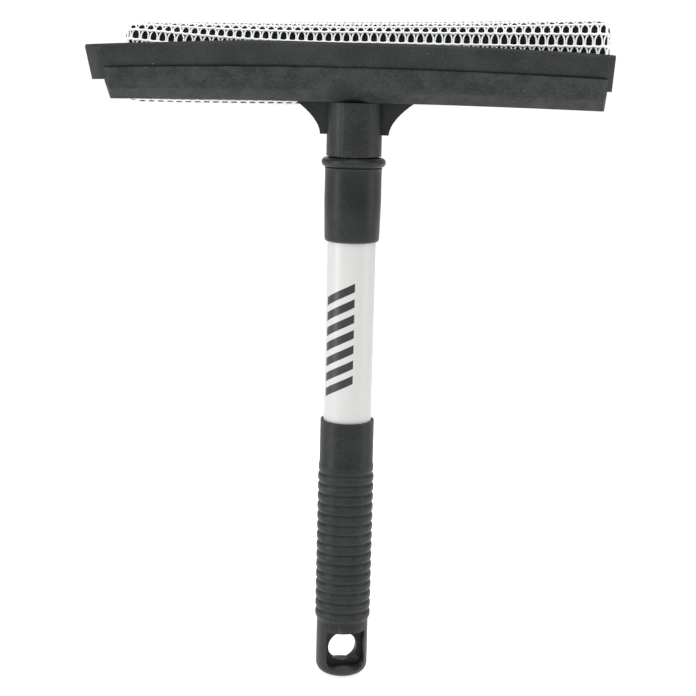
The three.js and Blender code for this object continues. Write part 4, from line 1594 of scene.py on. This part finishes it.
    def seam(self, side: int, name: str) -> bpy.types.Object:
        """Makes the folded edge where the net's end is gathered, with its overcast stitches.

        Args:
            side: Which end, -1 or 1.
            name: The end's name.

        Returns:
            The seam.
        """
        end = Vector((side * (self.form.half_length - self.hem_inset), 0, 0))
        shape = Hem(side, Vector(self.middle) + end, self.form.half_height * self.hem_share)
        hem, stitches = shape.fold(f"net_seam_{name}_hem"), shape.stitches()
        with editing(hem.data) as work:
            work.from_mesh(stitches.data)
        bpy.data.objects.remove(stitches)
        self.set_places(hem, self.leaned(self.places(hem)))
        return hem


# ---------------------------------------------------------------- the rest of the head and the lock
@dataclass
class Fittings:
    """The nodes that keep their own shape: the head moulding, the lock and the screws."""

    finishes: Finishes
    smooth_up_to: float = 32.0      # edges that turn by more degrees than this stay sharp
    round_from: float = 40.0        # and past this they are rounded
    pad_screws: int = 3

    def __post_init__(self) -> None:
        """Pairs each node with its finish and the width of its edge rounding in millimetres."""
        head, white, zinc = self.finishes.head, self.finishes.white, self.finishes.zinc
        self.finish_of = {
            "head_body": (head, 0.35), "sponge_plate": (head, 0.3), "lock_cone": (head, 0.2),
            "lock_plug": (head, 0.2), "guide_bush": (white, 0.15), "lock_sleeve": (white, 0.2),
            "inner_tube": (self.finishes.drawn, 0.1), "lock_spindle": (zinc, 0.15),
            "spindle_clip": (zinc, 0.1), "socket_screw": (zinc, 0.2),
        }
        for number in range(1, self.pad_screws + 1):
            self.finish_of[f"pad_screw_{number}"] = (zinc, 0.2)

    def make_smoother(self) -> bpy.types.NodeTree:
        """Makes the modifier that shades a faceted node smooth up to an angle.

        Returns:
            The modifier's node tree.
        """
        tree = bpy.data.node_groups.new("smooth up to an angle", "GeometryNodeTree")
        tree.interface.new_socket("Geometry", in_out="INPUT", socket_type="NodeSocketGeometry")
        tree.interface.new_socket("Geometry", in_out="OUTPUT", socket_type="NodeSocketGeometry")
        source = add_node(tree, "NodeGroupInput").outputs["Geometry"]
        faces = add_node(tree, "GeometryNodeSetShadeSmooth", {"Geometry": source, "Shade Smooth": True},
                         domain="FACE")
        angle = add_node(tree, "GeometryNodeInputMeshEdgeAngle").outputs["Unsigned Angle"]
        sharp = add_node(tree, "FunctionNodeCompare", {0: angle, 1: math.radians(self.smooth_up_to)},
                         data_type="FLOAT", operation="GREATER_THAN")
        edges = add_node(tree, "GeometryNodeSetShadeSmooth",
                         {"Geometry": faces.outputs[0], "Selection": sharp.outputs[0],
                          "Shade Smooth": False}, domain="EDGE")
        add_node(tree, "NodeGroupOutput", {"Geometry": edges.outputs[0]})
        return tree

    def build(self) -> None:
        """Dresses every node that keeps its shape."""
        smoother = self.make_smoother()
        for name, (material, width) in self.finish_of.items():
            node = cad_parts[name]
            if node.material_slots:
                for slot in node.material_slots:
                    slot.material = material
            else:
                node.data.materials.append(material)
            soften_edges(node, width, self.round_from, segments=2)
            node.modifiers.new("smooth", "NODES").node_group = smoother
            log.info("%s: %s", name, material.name)


def main() -> None:
    """Builds the studio and the tool, one sub-assembly after another."""
    logging.basicConfig(level=logging.INFO, format="%(name)s: %(message)s")
    Studio().build()
    finishes = Finishes()
    Handle(finishes).build()
    Blade(finishes).build()
    SpongePad(finishes).build()
    Fittings(finishes).build()


if __name__ == "__main__":
    main()
